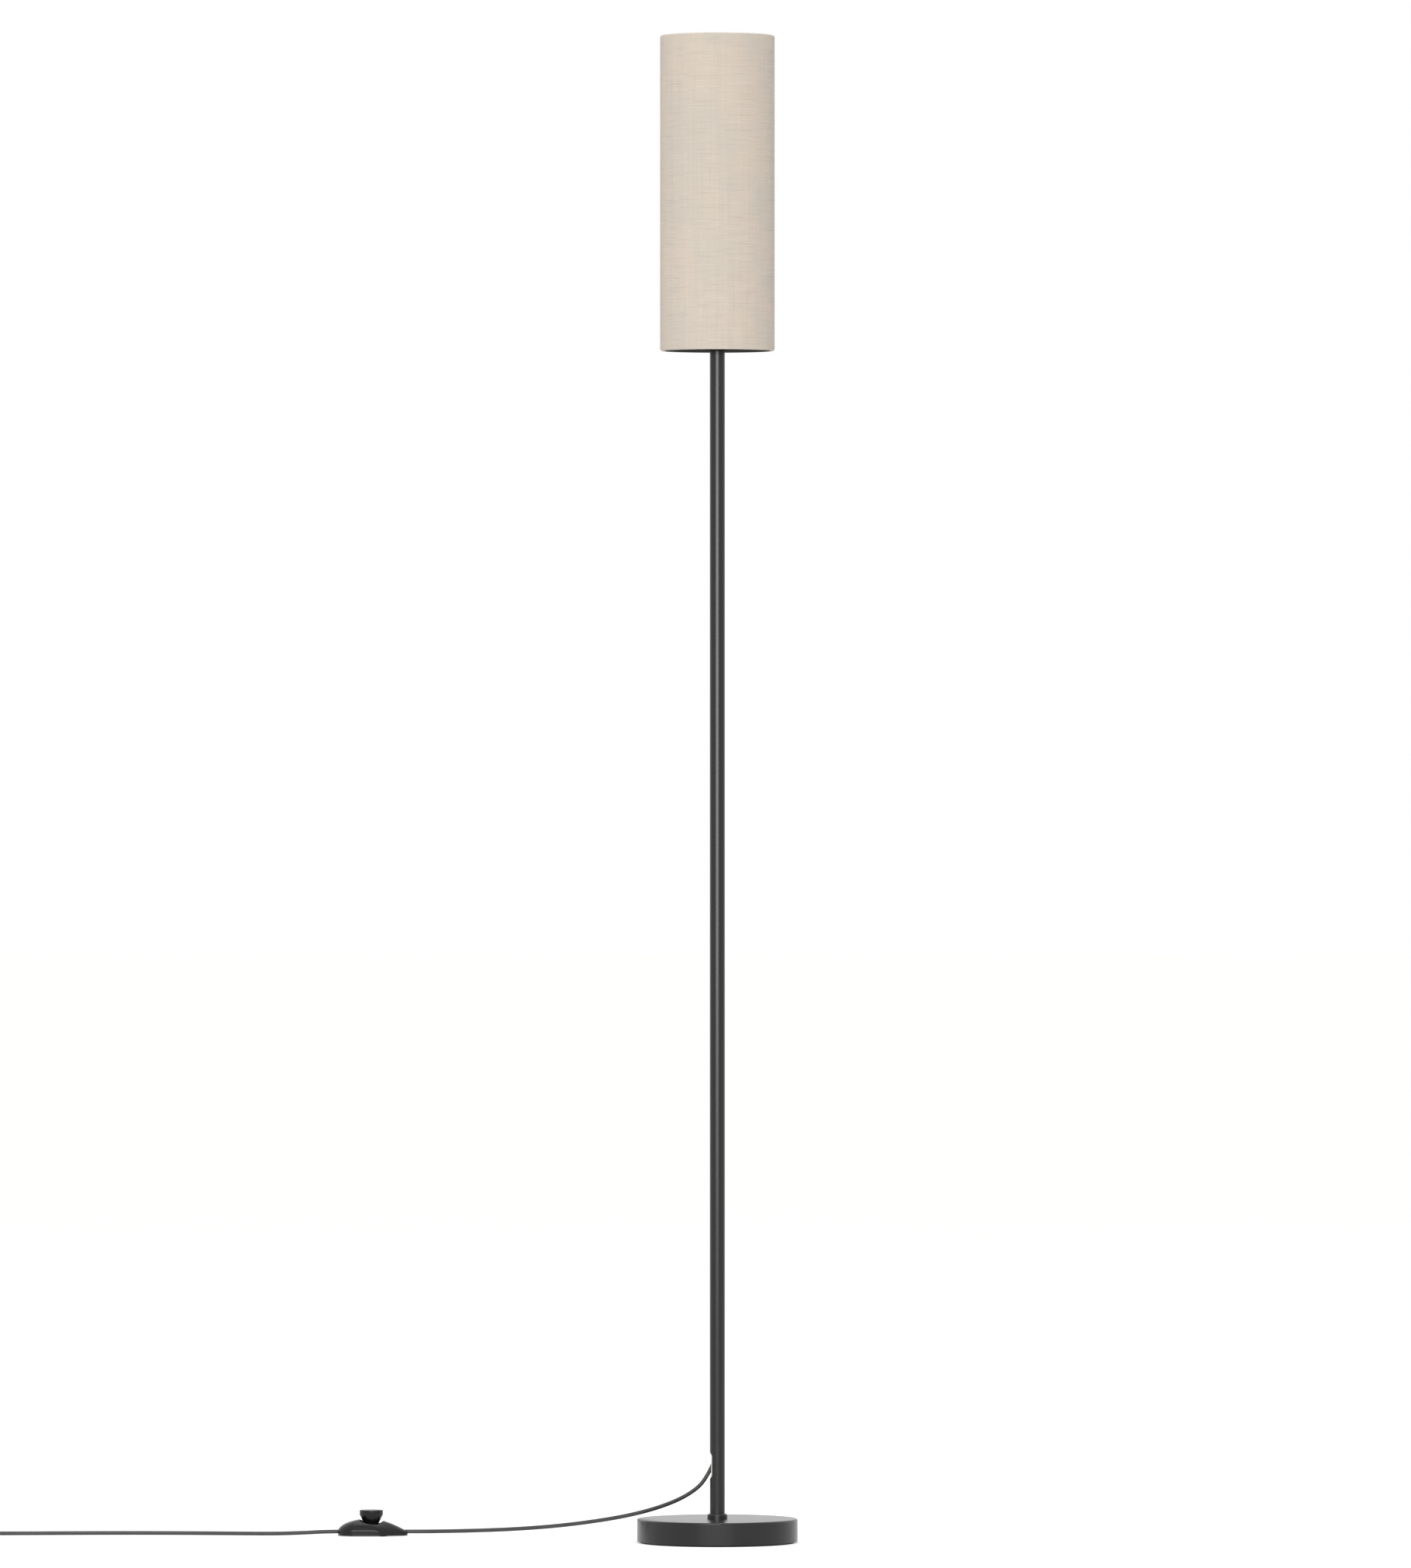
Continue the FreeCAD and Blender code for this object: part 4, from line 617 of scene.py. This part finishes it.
# One arm lies level from the hub, bends at the knee and runs down to the bottom ring.
arm_z = hub_z + HUB_THICKNESS - WIRE_RADIUS
arm_start = (HUB_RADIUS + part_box("holder_cap")[1].x) / 2
knee_x = ring_radius - ARM_KNEE_INSET
arm_turn = math.atan2(arm_z - bottom_ring_z, ARM_KNEE_INSET)
bend_reach = ARM_BEND * math.tan(arm_turn / 2)
bend_start_x = knee_x - bend_reach
bpy.ops.object.select_all(action="DESELECT")
bpy.ops.mesh.primitive_circle_add(vertices=WIRE_SIDES, radius=WIRE_RADIUS, fill_type="NGON",
                                  location=(arm_start, 0, arm_z), rotation=(0, math.radians(90), 0))
arm = bpy.context.object
arm.name = "gallery_arm_1"
bpy.ops.object.transform_apply(location=True, rotation=True)
edit_all(arm)
bpy.ops.mesh.extrude_region_move(TRANSFORM_OT_translate={"value": (bend_start_x - arm_start, 0, 0)})
bpy.ops.mesh.spin(steps=BEND_STEPS, angle=-arm_turn, center=(bend_start_x, 0, arm_z - ARM_BEND),
                  axis=(0, 1, 0))
arm_run = math.hypot(ARM_KNEE_INSET, arm_z - bottom_ring_z) - bend_reach
bpy.ops.mesh.extrude_region_move(TRANSFORM_OT_translate={
    "value": (arm_run * math.cos(arm_turn), 0, -arm_run * math.sin(arm_turn))})
bpy.ops.object.mode_set(mode="OBJECT")
tidy_mesh(arm)


def copy_round(piece, name, degrees):
    """A copy with its own mesh, turned about the lamp's axis."""
    twin = piece.copy()
    twin.data = piece.data.copy()
    twin.name = name
    bpy.context.scene.collection.objects.link(twin)
    edit_all(twin)
    bpy.ops.transform.rotate(value=math.radians(-degrees), orient_axis="Z", center_override=(0, 0, 0))
    bpy.ops.object.mode_set(mode="OBJECT")
    return twin


arms = [copy_round(arm, "gallery_arm_%d" % (number + 1), 90 + number * 360 / ARM_COUNT)
        for number in range(ARM_COUNT)]
bpy.data.objects.remove(arm)
for piece in (bottom_ring, hub, *arms):
    smooth(piece, 40)
    fit(piece, "shade", "frame_white", powder_coat, "shade_gallery")

# ---- Styrene liner ----
# A sheet of white styrene, rolled round the rings. The linen is laminated to its outside.
styrene = finish("white_styrene", (0.74, 0.72, 0.67), (0.82, 0.81, 0.77), (0.42, 0.52), tone_scale=14.0,
                 gloss_scale=12.0, grain_scale=900.0, grain_depth=0.00001)
clothe(styrene, "shade_liner")

# ---- Linen sleeve ----
# Beige slub linen, cut flat and laminated on the liner. Its long edges are folded in round both rings
# and glued down inside, and its ends lap 10 mm at the back.
LINEN_THICKNESS = 0.0005
LINER_THICKNESS = 0.0004
HEM_DEPTH = 0.008
HEM_SLANT = 0.55
HEM_STEP = 0.8
LAP = 0.010
LAP_RISE_DEGREES = 3.0
LAP_LIFT = 1.1
LINEN_COLUMNS = 240
CLOTH_MAP = "cloth_in_metres"
ARC_STEPS = 9
WALL_STEPS = 30

shade_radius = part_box("shade_fabric")[1].x
linen_radius = shade_radius - LINEN_THICKNESS / 2
fold_radius = linen_radius - ring_radius
hem_radius = shade_radius - LINEN_THICKNESS - LINER_THICKNESS - LINEN_THICKNESS / 2


def fold(ring_z, up):
    """Half a turn of linen round a ring, from the outside in."""
    return [(ring_radius + fold_radius * math.cos(math.pi * k / ARC_STEPS),
             ring_z + up * fold_radius * math.sin(math.pi * k / ARC_STEPS)) for k in range(ARC_STEPS + 1)]


def hem(ring_z, up):
    """The hem inside: back to the liner, then along it to the raw edge."""
    return [(hem_radius, ring_z - up * HEM_DEPTH * HEM_SLANT),
            (hem_radius, ring_z - up * HEM_DEPTH * HEM_STEP), (hem_radius, ring_z - up * HEM_DEPTH)]


wall = [(linen_radius, bottom_ring_z + (top_ring_z - bottom_ring_z) * k / WALL_STEPS)
        for k in range(1, WALL_STEPS)]
cut_line = (hem(bottom_ring_z, -1)[::-1] + fold(bottom_ring_z, -1)[::-1] + wall
            + fold(top_ring_z, 1) + hem(top_ring_z, 1))
lengths = [0.0]
for (radius_a, height_a), (radius_b, height_b) in zip(cut_line, cut_line[1:]):
    lengths.append(lengths[-1] + math.hypot(radius_b - radius_a, height_b - height_a))
linen_width = 2 * math.pi * linen_radius + LAP
lap_angle = LAP / linen_radius
lap_rise = math.radians(LAP_RISE_DEGREES)


def outward(row):
    """The direction square to the cut line, away from the rings."""
    (radius_a, height_a), (radius_b, height_b) = (cut_line[max(row - 1, 0)],
                                                  cut_line[min(row + 1, len(cut_line) - 1)])
    run = math.hypot(radius_b - radius_a, height_b - height_a)
    return (height_b - height_a) / run, (radius_a - radius_b) / run


bpy.ops.object.select_all(action="DESELECT")
bpy.ops.mesh.primitive_grid_add(x_subdivisions=LINEN_COLUMNS, y_subdivisions=len(cut_line) - 1, size=1.0)
linen_sleeve = bpy.context.object
linen_sleeve.name = "linen_sleeve"
flat_places = [(v.co.x + 0.5, v.co.y + 0.5) for v in linen_sleeve.data.vertices]
layer = linen_sleeve.data.uv_layers.active
for loop in linen_sleeve.data.loops:
    across, along = flat_places[loop.vertex_index]
    layer.data[loop.index].uv = (across * linen_width,
                                 lengths[round(along * (len(cut_line) - 1))])
for vertex, (across, along) in zip(linen_sleeve.data.vertices, flat_places):
    row = round(along * (len(cut_line) - 1))
    radius, height = cut_line[row]
    turn_by = across * (2 * math.pi + lap_angle)
    rise = min(max((turn_by - (2 * math.pi - lap_rise)) / lap_rise, 0.0), 1.0)
    lift = LINEN_THICKNESS * LAP_LIFT * rise * rise * (3 - 2 * rise)
    out_radius, out_height = outward(row)
    angle = math.pi / 2 - lap_angle / 2 + turn_by
    reach = radius + lift * out_radius
    vertex.co = (reach * math.cos(angle), reach * math.sin(angle), height + lift * out_height)
thickness = linen_sleeve.modifiers.new("thickness", "SOLIDIFY")
thickness.thickness = LINEN_THICKNESS
thickness.offset = 0.0
thickness.use_rim = True
apply_modifiers(linen_sleeve)
linen_sleeve.data.uv_layers[0].name = CLOTH_MAP
smooth(linen_sleeve, 50)

# The weave: warp threads run up the shade and weft threads round it, at their real pitch. Now and then
# a thread is thick, which shows as a short streak, and the dye takes unevenly. The gaps between threads
# are painted darker as shade, and the tops of the threads are painted lighter as light.
WARP_PITCH = 0.00062
WEFT_PITCH = 0.00058
THREAD_DEPTH = 0.00016
LINEN_WARM = (0.708, 0.612, 0.518)
LINEN_GREY = (0.642, 0.588, 0.510)
LINEN_SLUB = (0.560, 0.500, 0.430)
LINEN_PALE = (0.760, 0.690, 0.600)
# Painted shade in the gaps between threads and painted light on their tops, as factors on the colour.
PAINTED_SHADE_BETWEEN_THREADS = (0.88, 0.87, 0.86)
PAINTED_LIGHT_ON_THREADS = (1.10, 1.10, 1.10)

# How far each noise is stretched round and up the shade, and the two levels between which it shows.
DYE = ((16.0, 16.0, 1.0), (0.41, 0.59))
WARP_BANDS = ((150.0, 4.0, 1.0), (0.40, 0.60))
WEFT_SLUB = ((26.0, 760.0, 1.0), (0.55, 0.70))
WEFT_PALE = ((31.0, 640.0, 1.0), (0.55, 0.72))
WARP_SLUB = ((620.0, 9.0, 1.0), (0.54, 0.72))
FUZZ_STRETCH = (900.0, 900.0, 1.0)
THREAD_SHADE_LEVELS = (0.1, 0.9)

# How much of each goes into the colour and into the relief.
DYE_SHARE = 0.62
BANDS_SHARE = 0.38
WEFT_SLUB_SHARE = 0.55
WARP_SLUB_SHARE = 0.30
WEFT_PALE_SHARE = 0.45
THREAD_SHADE = 0.7
FUZZ_TONE = 0.6
THREAD_RELIEF = 1.0
FUZZ_RELIEF = 0.5
WEFT_SLUB_RELIEF = 0.8
WARP_SLUB_RELIEF = 0.5


def thread_waves(tree, places):
    """Over and under of a plain weave: 1 on top of a thread, 0 between threads."""
    split = tree.nodes.new("ShaderNodeSeparateXYZ")
    feed(tree, split.inputs[0], places)
    warp, weft = (calculate(tree, "SINE", calculate(tree, "MULTIPLY", split.outputs[axis], math.pi / pitch))
                  for axis, pitch in ((0, WARP_PITCH), (1, WEFT_PITCH)))
    return calculate(tree, "ABSOLUTE", calculate(tree, "MULTIPLY", warp, weft))


def window(tree, value, low, high):
    """0 below low, 1 above high."""
    span = tree.nodes.new("ShaderNodeMapRange")
    span.inputs["From Min"].default_value = low
    span.inputs["From Max"].default_value = high
    tree.links.new(value, span.inputs["Value"])
    return span.outputs["Result"]


def streaks(tree, places, stretch, levels, detail=2.0):
    """Stretched noise between two levels."""
    return window(tree, cloud(tree, places, 1.0, detail, stretch), *levels)


def added(tree, *terms):
    """Adds (value, weight) terms."""
    total = 0.0
    for value, weight in terms:
        total = calculate(tree, "MULTIPLY_ADD", value, weight, total)
    return total


linen = bpy.data.materials.new("slub_linen")
linen.use_nodes = True
tree = linen.node_tree
shader = tree.nodes["Principled BSDF"]
cloth_places = tree.nodes.new("ShaderNodeUVMap")
cloth_places.uv_map = CLOTH_MAP
places = cloth_places.outputs["UV"]
dye = streaks(tree, places, *DYE, detail=3.0)
weft_slub = streaks(tree, places, *WEFT_SLUB)
weft_pale = streaks(tree, places, *WEFT_PALE)
warp_slub = streaks(tree, places, *WARP_SLUB)
bands = streaks(tree, places, *WARP_BANDS)
threads = thread_waves(tree, places)
fuzz = cloud(tree, places, 1.0, 2.0, FUZZ_STRETCH)
colour = mixed(tree, added(tree, (dye, DYE_SHARE), (bands, BANDS_SHARE)), LINEN_GREY, LINEN_WARM)
colour = mixed(tree, added(tree, (weft_slub, WEFT_SLUB_SHARE), (warp_slub, WARP_SLUB_SHARE)), colour,
               LINEN_SLUB)
colour = mixed(tree, added(tree, (weft_pale, WEFT_PALE_SHARE)), colour, LINEN_PALE)
# Painted shade and light of the weave: darker between threads and lighter on their tops, with random fuzz.
painted_thread_shade_and_fuzz = window(tree, added(tree, (threads, THREAD_SHADE), (fuzz, FUZZ_TONE)), *THREAD_SHADE_LEVELS)
colour = mixed(tree, 1.0, colour, mixed(tree, painted_thread_shade_and_fuzz, PAINTED_SHADE_BETWEEN_THREADS, PAINTED_LIGHT_ON_THREADS),
               blend="MULTIPLY")
feed(tree, shader.inputs["Base Color"], colour)
bump = tree.nodes.new("ShaderNodeBump")
bump.inputs["Distance"].default_value = THREAD_DEPTH
feed(tree, bump.inputs["Height"], added(
    tree, (threads, THREAD_RELIEF), (fuzz, FUZZ_RELIEF), (weft_slub, WEFT_SLUB_RELIEF),
    (warp_slub, WARP_SLUB_RELIEF)))
feed(tree, shader.inputs["Normal"], bump.outputs["Normal"])
shader.inputs["Roughness"].default_value = 0.88
shader.inputs["Specular IOR Level"].default_value = 0.2
shader.inputs["Sheen Weight"].default_value = 0.08
shader.inputs["Sheen Roughness"].default_value = 0.5
fit(linen_sleeve, "shade", "linen", linen, "shade_fabric")

# ---- Shade ring nut ----
# A black moulded ring with 18 grip flutes. It screws down the lampholder's skirt and clamps the hub.
FLUTES = 18
FLUTE_DEPTH = 0.0014
FLUTE_HALF_ANGLE = 4.6
FLUTE_ROUNDNESS = 1.5
SIDES_PER_FLUTE = 20
NUT_CHAMFER = 0.0008
NUT_GRIP_BAND = 0.001
NUT_EDGE = 0.0003

nut_low, nut_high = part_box("shade_ring_nut")
nut_bore, nut_radius = radii("shade_ring_nut")
nut_face = nut_radius - NUT_CHAMFER
ring_nut = turn("shade_ring_nut_fluted", [
    (nut_bore, nut_low.z), (nut_face, nut_low.z), (nut_radius, nut_low.z + NUT_CHAMFER),
    (nut_radius, nut_high.z - NUT_CHAMFER), (nut_face, nut_high.z), (nut_bore, nut_high.z)],
    sides=FLUTES * SIDES_PER_FLUTE, closed=True)
half_flute = 180 / FLUTES
for vertex in ring_nut.data.vertices:
    if math.hypot(vertex.co.x, vertex.co.y) < nut_radius - NUT_GRIP_BAND:
        continue
    around = math.degrees(math.atan2(vertex.co.y, vertex.co.x))
    off_centre = abs((around + half_flute) % (2 * half_flute) - half_flute)
    if off_centre < FLUTE_HALF_ANGLE:
        hollow = math.cos(math.pi / 2 * off_centre / FLUTE_HALF_ANGLE) ** FLUTE_ROUNDNESS
        share = 1 - FLUTE_DEPTH / nut_radius * hollow
        vertex.co.x *= share
        vertex.co.y *= share
round_edges(ring_nut, NUT_EDGE, segments=2, angle=40)
smooth(ring_nut, 45)
fit(ring_nut, "ring_nut", "holder_black", moulded_black, "shade_ring_nut")

# ---- Bulb ----
# A long tubular LED filament bulb: clear glass sealed over a glass stem, four yellow filaments strung
# between wire stars, and a nickel-plated screw cap with a black glass insulator at its foot.
CAP_INNER_RADIUS = 0.0119
NECK_RADIUS = 0.01235
CAP_PITCH = 0.00363
CAP_THREAD_DEPTH = 0.0009
CAP_CRIMP = 0.0020
CAP_FOOT_INSET = 0.0012
CAP_FOOT_RISE = 0.0010
CAP_THREAD_START = 0.0012
CAP_THREAD_END = 0.0040

screw_low, screw_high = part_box("bulb_cap")
screw_radius = screw_high.x
bulb_cap = turn("bulb_screw_cap", [
    (CAP_INNER_RADIUS, screw_low.z), (screw_radius - CAP_FOOT_INSET, screw_low.z)]
    + rings(screw_radius, screw_low.z + CAP_FOOT_RISE, screw_high.z, CAP_PITCH / 12)
    + [(NECK_RADIUS, screw_high.z), (NECK_RADIUS, screw_high.z - CAP_CRIMP),
       (CAP_INNER_RADIUS, screw_high.z - CAP_CRIMP)], sides=96, closed=True)
cut_thread(bulb_cap, screw_low.z + CAP_THREAD_START, screw_high.z - CAP_THREAD_END, CAP_PITCH,
           CAP_THREAD_DEPTH, screw_radius, crest=1.0)
smooth(bulb_cap, 50)
nickel = finish("nickel_plate", (0.58, 0.56, 0.52), (0.74, 0.72, 0.68), (0.14, 0.26), tone_scale=200.0,
                grain_scale=2400.0, grain_depth=0.000006, Metallic=1.0)
clear_glass = finish("clear_glass", (0.90, 0.92, 0.92), (0.95, 0.96, 0.96), (0.0, 0.01), tone_scale=30.0,
                     grain_scale=60.0, grain_depth=0.000004, Transmission_Weight=1.0, IOR=1.47)
stem_glass = finish("stem_glass", (0.90, 0.92, 0.91), (0.98, 0.98, 0.97), (0.02, 0.12), tone_scale=90.0,
                    grain_scale=240.0, grain_depth=0.00004, Transmission_Weight=1.0, IOR=1.52)
black_glass = finish("insulator_glass", (0.006, 0.005, 0.008), (0.014, 0.012, 0.018), (0.10, 0.20),
                     tone_scale=200.0, grain_scale=900.0)
phosphor = finish("filament_phosphor", (0.72, 0.43, 0.05), (0.88, 0.60, 0.12), (0.45, 0.60),
                  tone_scale=500.0, grain_scale=3000.0)
fit(bulb_cap, "bulb", "bulb_cap_metal", nickel, "bulb_cap")
clothe(clear_glass, "bulb_glass")
clothe(stem_glass, "bulb_stem")
clothe(black_glass, "bulb_cap_insulator")
clothe(phosphor, "bulb_filaments")

# ---- Foot switch ----
# An in-line switch for the floor: two black moulded half shells screwed together over brass terminals,
# a spring-loaded round knob on a plunger, nylon bars that clamp the two cords, and four rubber feet.
SHELL_EDGE = 0.0009
KNOB_EDGE = 0.0006
SOLID_MERGE = 2e-6
FLAT_DEGREES = 1.0
EDGE_DEGREES = 30.0


def copy_solid(solid, name):
    """A piece with a copy of a solid's mesh."""
    piece = bpy.data.objects.new(name, nodes[solid].data.copy())
    bpy.context.scene.collection.objects.link(piece)
    return piece


def rounded_copy(solid, name, width):
    """A copy of a solid with its doubled points merged, its flats made whole and its edges rounded."""
    piece = copy_solid(solid, name)
    pick(piece)
    if piece.data.has_custom_normals:
        bpy.ops.mesh.customdata_custom_splitnormals_clear()
    edit_all(piece)
    bpy.ops.mesh.remove_doubles(threshold=SOLID_MERGE)
    bpy.ops.mesh.dissolve_limited(angle_limit=math.radians(FLAT_DEGREES))
    bpy.ops.object.mode_set(mode="OBJECT")
    round_edges(piece, width, angle=EDGE_DEGREES)
    smooth(piece, 40)
    return piece


switch_plastic = finish("switch_plastic", (0.0050, 0.0050, 0.0050), (0.0080, 0.0080, 0.0080),
                        (0.20, 0.28), tone_scale=60.0, gloss_scale=45.0, grain_scale=1500.0,
                        grain_depth=0.00001, Specular_IOR_Level=0.32)
rubber = finish("foot_rubber", (0.020, 0.020, 0.020), (0.034, 0.034, 0.033), (0.70, 0.85),
                tone_scale=150.0, grain_scale=900.0, grain_depth=0.00006)
spring_steel = finish("spring_steel", (0.34, 0.33, 0.31), (0.52, 0.51, 0.48), (0.22, 0.34),
                      tone_scale=300.0, grain_scale=2600.0, Metallic=1.0)
top_shell = rounded_copy("switch_top_shell", "switch_cover", SHELL_EDGE)
foot_knob = rounded_copy("switch_knob", "switch_foot_knob", KNOB_EDGE)
fit(top_shell, "lamp", "switch_black", switch_plastic, "switch_top_shell")
fit(foot_knob, "foot_knob", "switch_black", switch_plastic, "switch_knob")
clothe(switch_plastic, "switch_base_shell", "switch_plunger")
clothe(rubber, "switch_feet")
knob_spring = copy_solid("switch_spring", "knob_return_spring")
tidy_mesh(knob_spring)
smooth(knob_spring, 60)
fit(knob_spring, "lamp", "spring_steel", spring_steel, "switch_spring")
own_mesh(knob_spring)
clothe(brass, "switch_terminals", "switch_bridge")
clothe(zinc, "switch_terminal_screws", "switch_clamp_screws", "switch_shell_screws")
clothe(nylon, "switch_cord_clamps")
clothe(brown_insulation, "switch_live_cores")
clothe(blue_insulation, "switch_neutral_core")

# ---- Mains plug and the coil's tie ----
# A flat two-pin plug moulded on the cord, with a grooved strain relief and nickel-plated pins in black
# insulating sleeves. A thin black strap holds the coil of spare cord.
PLUG_EDGE = 0.0010
TIE_WIDTH = 0.006
TIE_THICKNESS = 0.0007
TIE_SIDES = 48
TIE_SQUARENESS = 0.30
TIE_ACROSS = 0.0074
TIE_UP = 0.0090

plug_rubber = finish("plug_vinyl", (0.011, 0.011, 0.011), (0.018, 0.018, 0.018), (0.38, 0.52),
                     tone_scale=90.0, grain_scale=1400.0, grain_depth=0.00004)
plug_moulding = rounded_copy("plug_body", "plug_moulding", PLUG_EDGE)
fit(plug_moulding, "lamp", "plug_black", plug_rubber, "plug_body")
clothe(plug_rubber, "plug_sleeve", "plug_pin_sleeves")
clothe(nickel, "plug_pins")

bpy.ops.object.select_all(action="DESELECT")
bpy.ops.mesh.primitive_circle_add(vertices=TIE_SIDES, radius=1.0, location=(0, 0, 0))
coil_tie = bpy.context.object
coil_tie.name = "coil_tie"
tie_x = COIL_X + COIL_OUTER_RADIUS - COIL_PITCH * COIL_TURNS_PER_LAYER / 2
for vertex in coil_tie.data.vertices:
    across, up = vertex.co.x, vertex.co.y
    vertex.co = (tie_x + math.copysign(abs(across) ** TIE_SQUARENESS, across) * TIE_ACROSS,
                 COIL_Y - TIE_WIDTH / 2,
                 TIE_UP + math.copysign(abs(up) ** TIE_SQUARENESS, up) * TIE_UP + TIE_THICKNESS / 2)
edit_all(coil_tie)
bpy.ops.mesh.extrude_edges_move(TRANSFORM_OT_translate={"value": (0, TIE_WIDTH, 0)})
bpy.ops.object.mode_set(mode="OBJECT")
tidy_mesh(coil_tie)
strap = coil_tie.modifiers.new("strap", "SOLIDIFY")
strap.thickness = TIE_THICKNESS
strap.offset = 0.0
apply_modifiers(coil_tie)
smooth(coil_tie, 45)
fit(coil_tie, "lamp", "plug_black", plug_rubber)

# ---- The studio ----
# A seamless pale floor in a white studio. The floor and the room show white to the camera, to gloss and
# through glass, and the floor keeps the lamp's own soft shadow.
FLOOR_SIZE = 90.0
FLOOR_COLOUR = (0.82, 0.82, 0.81)
FLOOR_GLOW = 0.45
ROOM_LIGHT = 0.67
EYE_DISTANCE = 13.1
EYE_X = -0.0118
EYE_HEIGHT = 0.7551
LENS = 302.2


def light_path(tree, *rays):
    """A value that is 1 for any of these kinds of ray."""
    path = tree.nodes.new("ShaderNodeLightPath")
    every = path.outputs[rays[0]]
    for ray in rays[1:]:
        every = calculate(tree, "MAXIMUM", every, path.outputs[ray])
    return every


def show_white(tree, white, lit, surface, *rays):
    """Shows a white to these kinds of ray, and the lit surface to the rest."""
    either = tree.nodes.new("ShaderNodeMixShader")
    feed(tree, either.inputs[0], light_path(tree, *rays))
    feed(tree, either.inputs[1], lit)
    feed(tree, either.inputs[2], white)
    feed(tree, surface, either.outputs[0])


bpy.ops.object.select_all(action="DESELECT")
bpy.ops.mesh.primitive_plane_add(size=FLOOR_SIZE)
floor = bpy.context.object
floor.name = "studio_floor"
floor_paint = bpy.data.materials.new("studio_floor_paint")
floor_paint.use_nodes = True
tree = floor_paint.node_tree
paint = tree.nodes["Principled BSDF"]
paint.inputs["Base Color"].default_value = (*FLOOR_COLOUR, 1)
paint.inputs["Roughness"].default_value = 1.0
paint.inputs["Specular IOR Level"].default_value = 0.0
glow = tree.nodes.new("ShaderNodeEmission")
feed(tree, glow.inputs["Strength"], calculate(tree, "MULTIPLY", light_path(tree, "Is Camera Ray"),
                                              FLOOR_GLOW))
lit = tree.nodes.new("ShaderNodeAddShader")
tree.links.new(paint.outputs[0], lit.inputs[0])
tree.links.new(glow.outputs[0], lit.inputs[1])
white = tree.nodes.new("ShaderNodeEmission")
show_white(tree, white.outputs[0], lit.outputs[0], tree.nodes["Material Output"].inputs["Surface"],
           "Is Glossy Ray", "Is Transmission Ray")
floor.data.materials.append(floor_paint)

room = bpy.data.worlds.new("studio_room")
room.use_nodes = True
tree = room.node_tree
light = tree.nodes["Background"]
light.inputs["Strength"].default_value = ROOM_LIGHT
light.inputs["Color"].default_value = (1, 1, 1, 1)
white = tree.nodes.new("ShaderNodeBackground")
white.inputs["Color"].default_value = (1, 1, 1, 1)
show_white(tree, white.outputs[0], light.outputs[0], tree.nodes["World Output"].inputs["Surface"],
           "Is Camera Ray", "Is Glossy Ray", "Is Transmission Ray")
bpy.context.scene.world = room


def softbox(name, place, aim, width, height, power):
    """A rectangular lamp turned to a point."""
    data = bpy.data.lights.new(name, "AREA")
    data.shape = "RECTANGLE"
    data.size = width
    data.size_y = height
    data.energy = power
    lamp = bpy.data.objects.new(name, data)
    bpy.context.scene.collection.objects.link(lamp)
    lamp.location = place
    lamp.rotation_euler = (Vector(aim) - Vector(place)).to_track_quat("-Z", "Y").to_euler()
    lamp.visible_camera = False
    return lamp


softbox("front_softbox", place=(-0.2, -4.2, 0.975), aim=(0, 0, 0.975), width=3.0, height=1.25, power=72)
left_fill = softbox("left_fill", place=(-3.5, -1.5, 1.6), aim=(0, 0, 0.9), width=2.0, height=2.0,
                    power=13)
left_fill.visible_glossy = False
softbox("top_softbox", place=(0, 0.4, 3.6), aim=(0, 0, 0), width=2.4, height=2.4, power=30)

eye = bpy.data.cameras.new("photo_camera")
eye.lens = LENS
eye.sensor_width = 36.0
eye.clip_end = 100.0
camera = bpy.data.objects.new("photo_camera", eye)
bpy.context.scene.collection.objects.link(camera)
camera.location = (EYE_X, -EYE_DISTANCE, EYE_HEIGHT)
camera.rotation_euler = (math.radians(90), 0, 0)
bpy.context.scene.camera = camera
bpy.context.scene.view_settings.view_transform = "Standard"
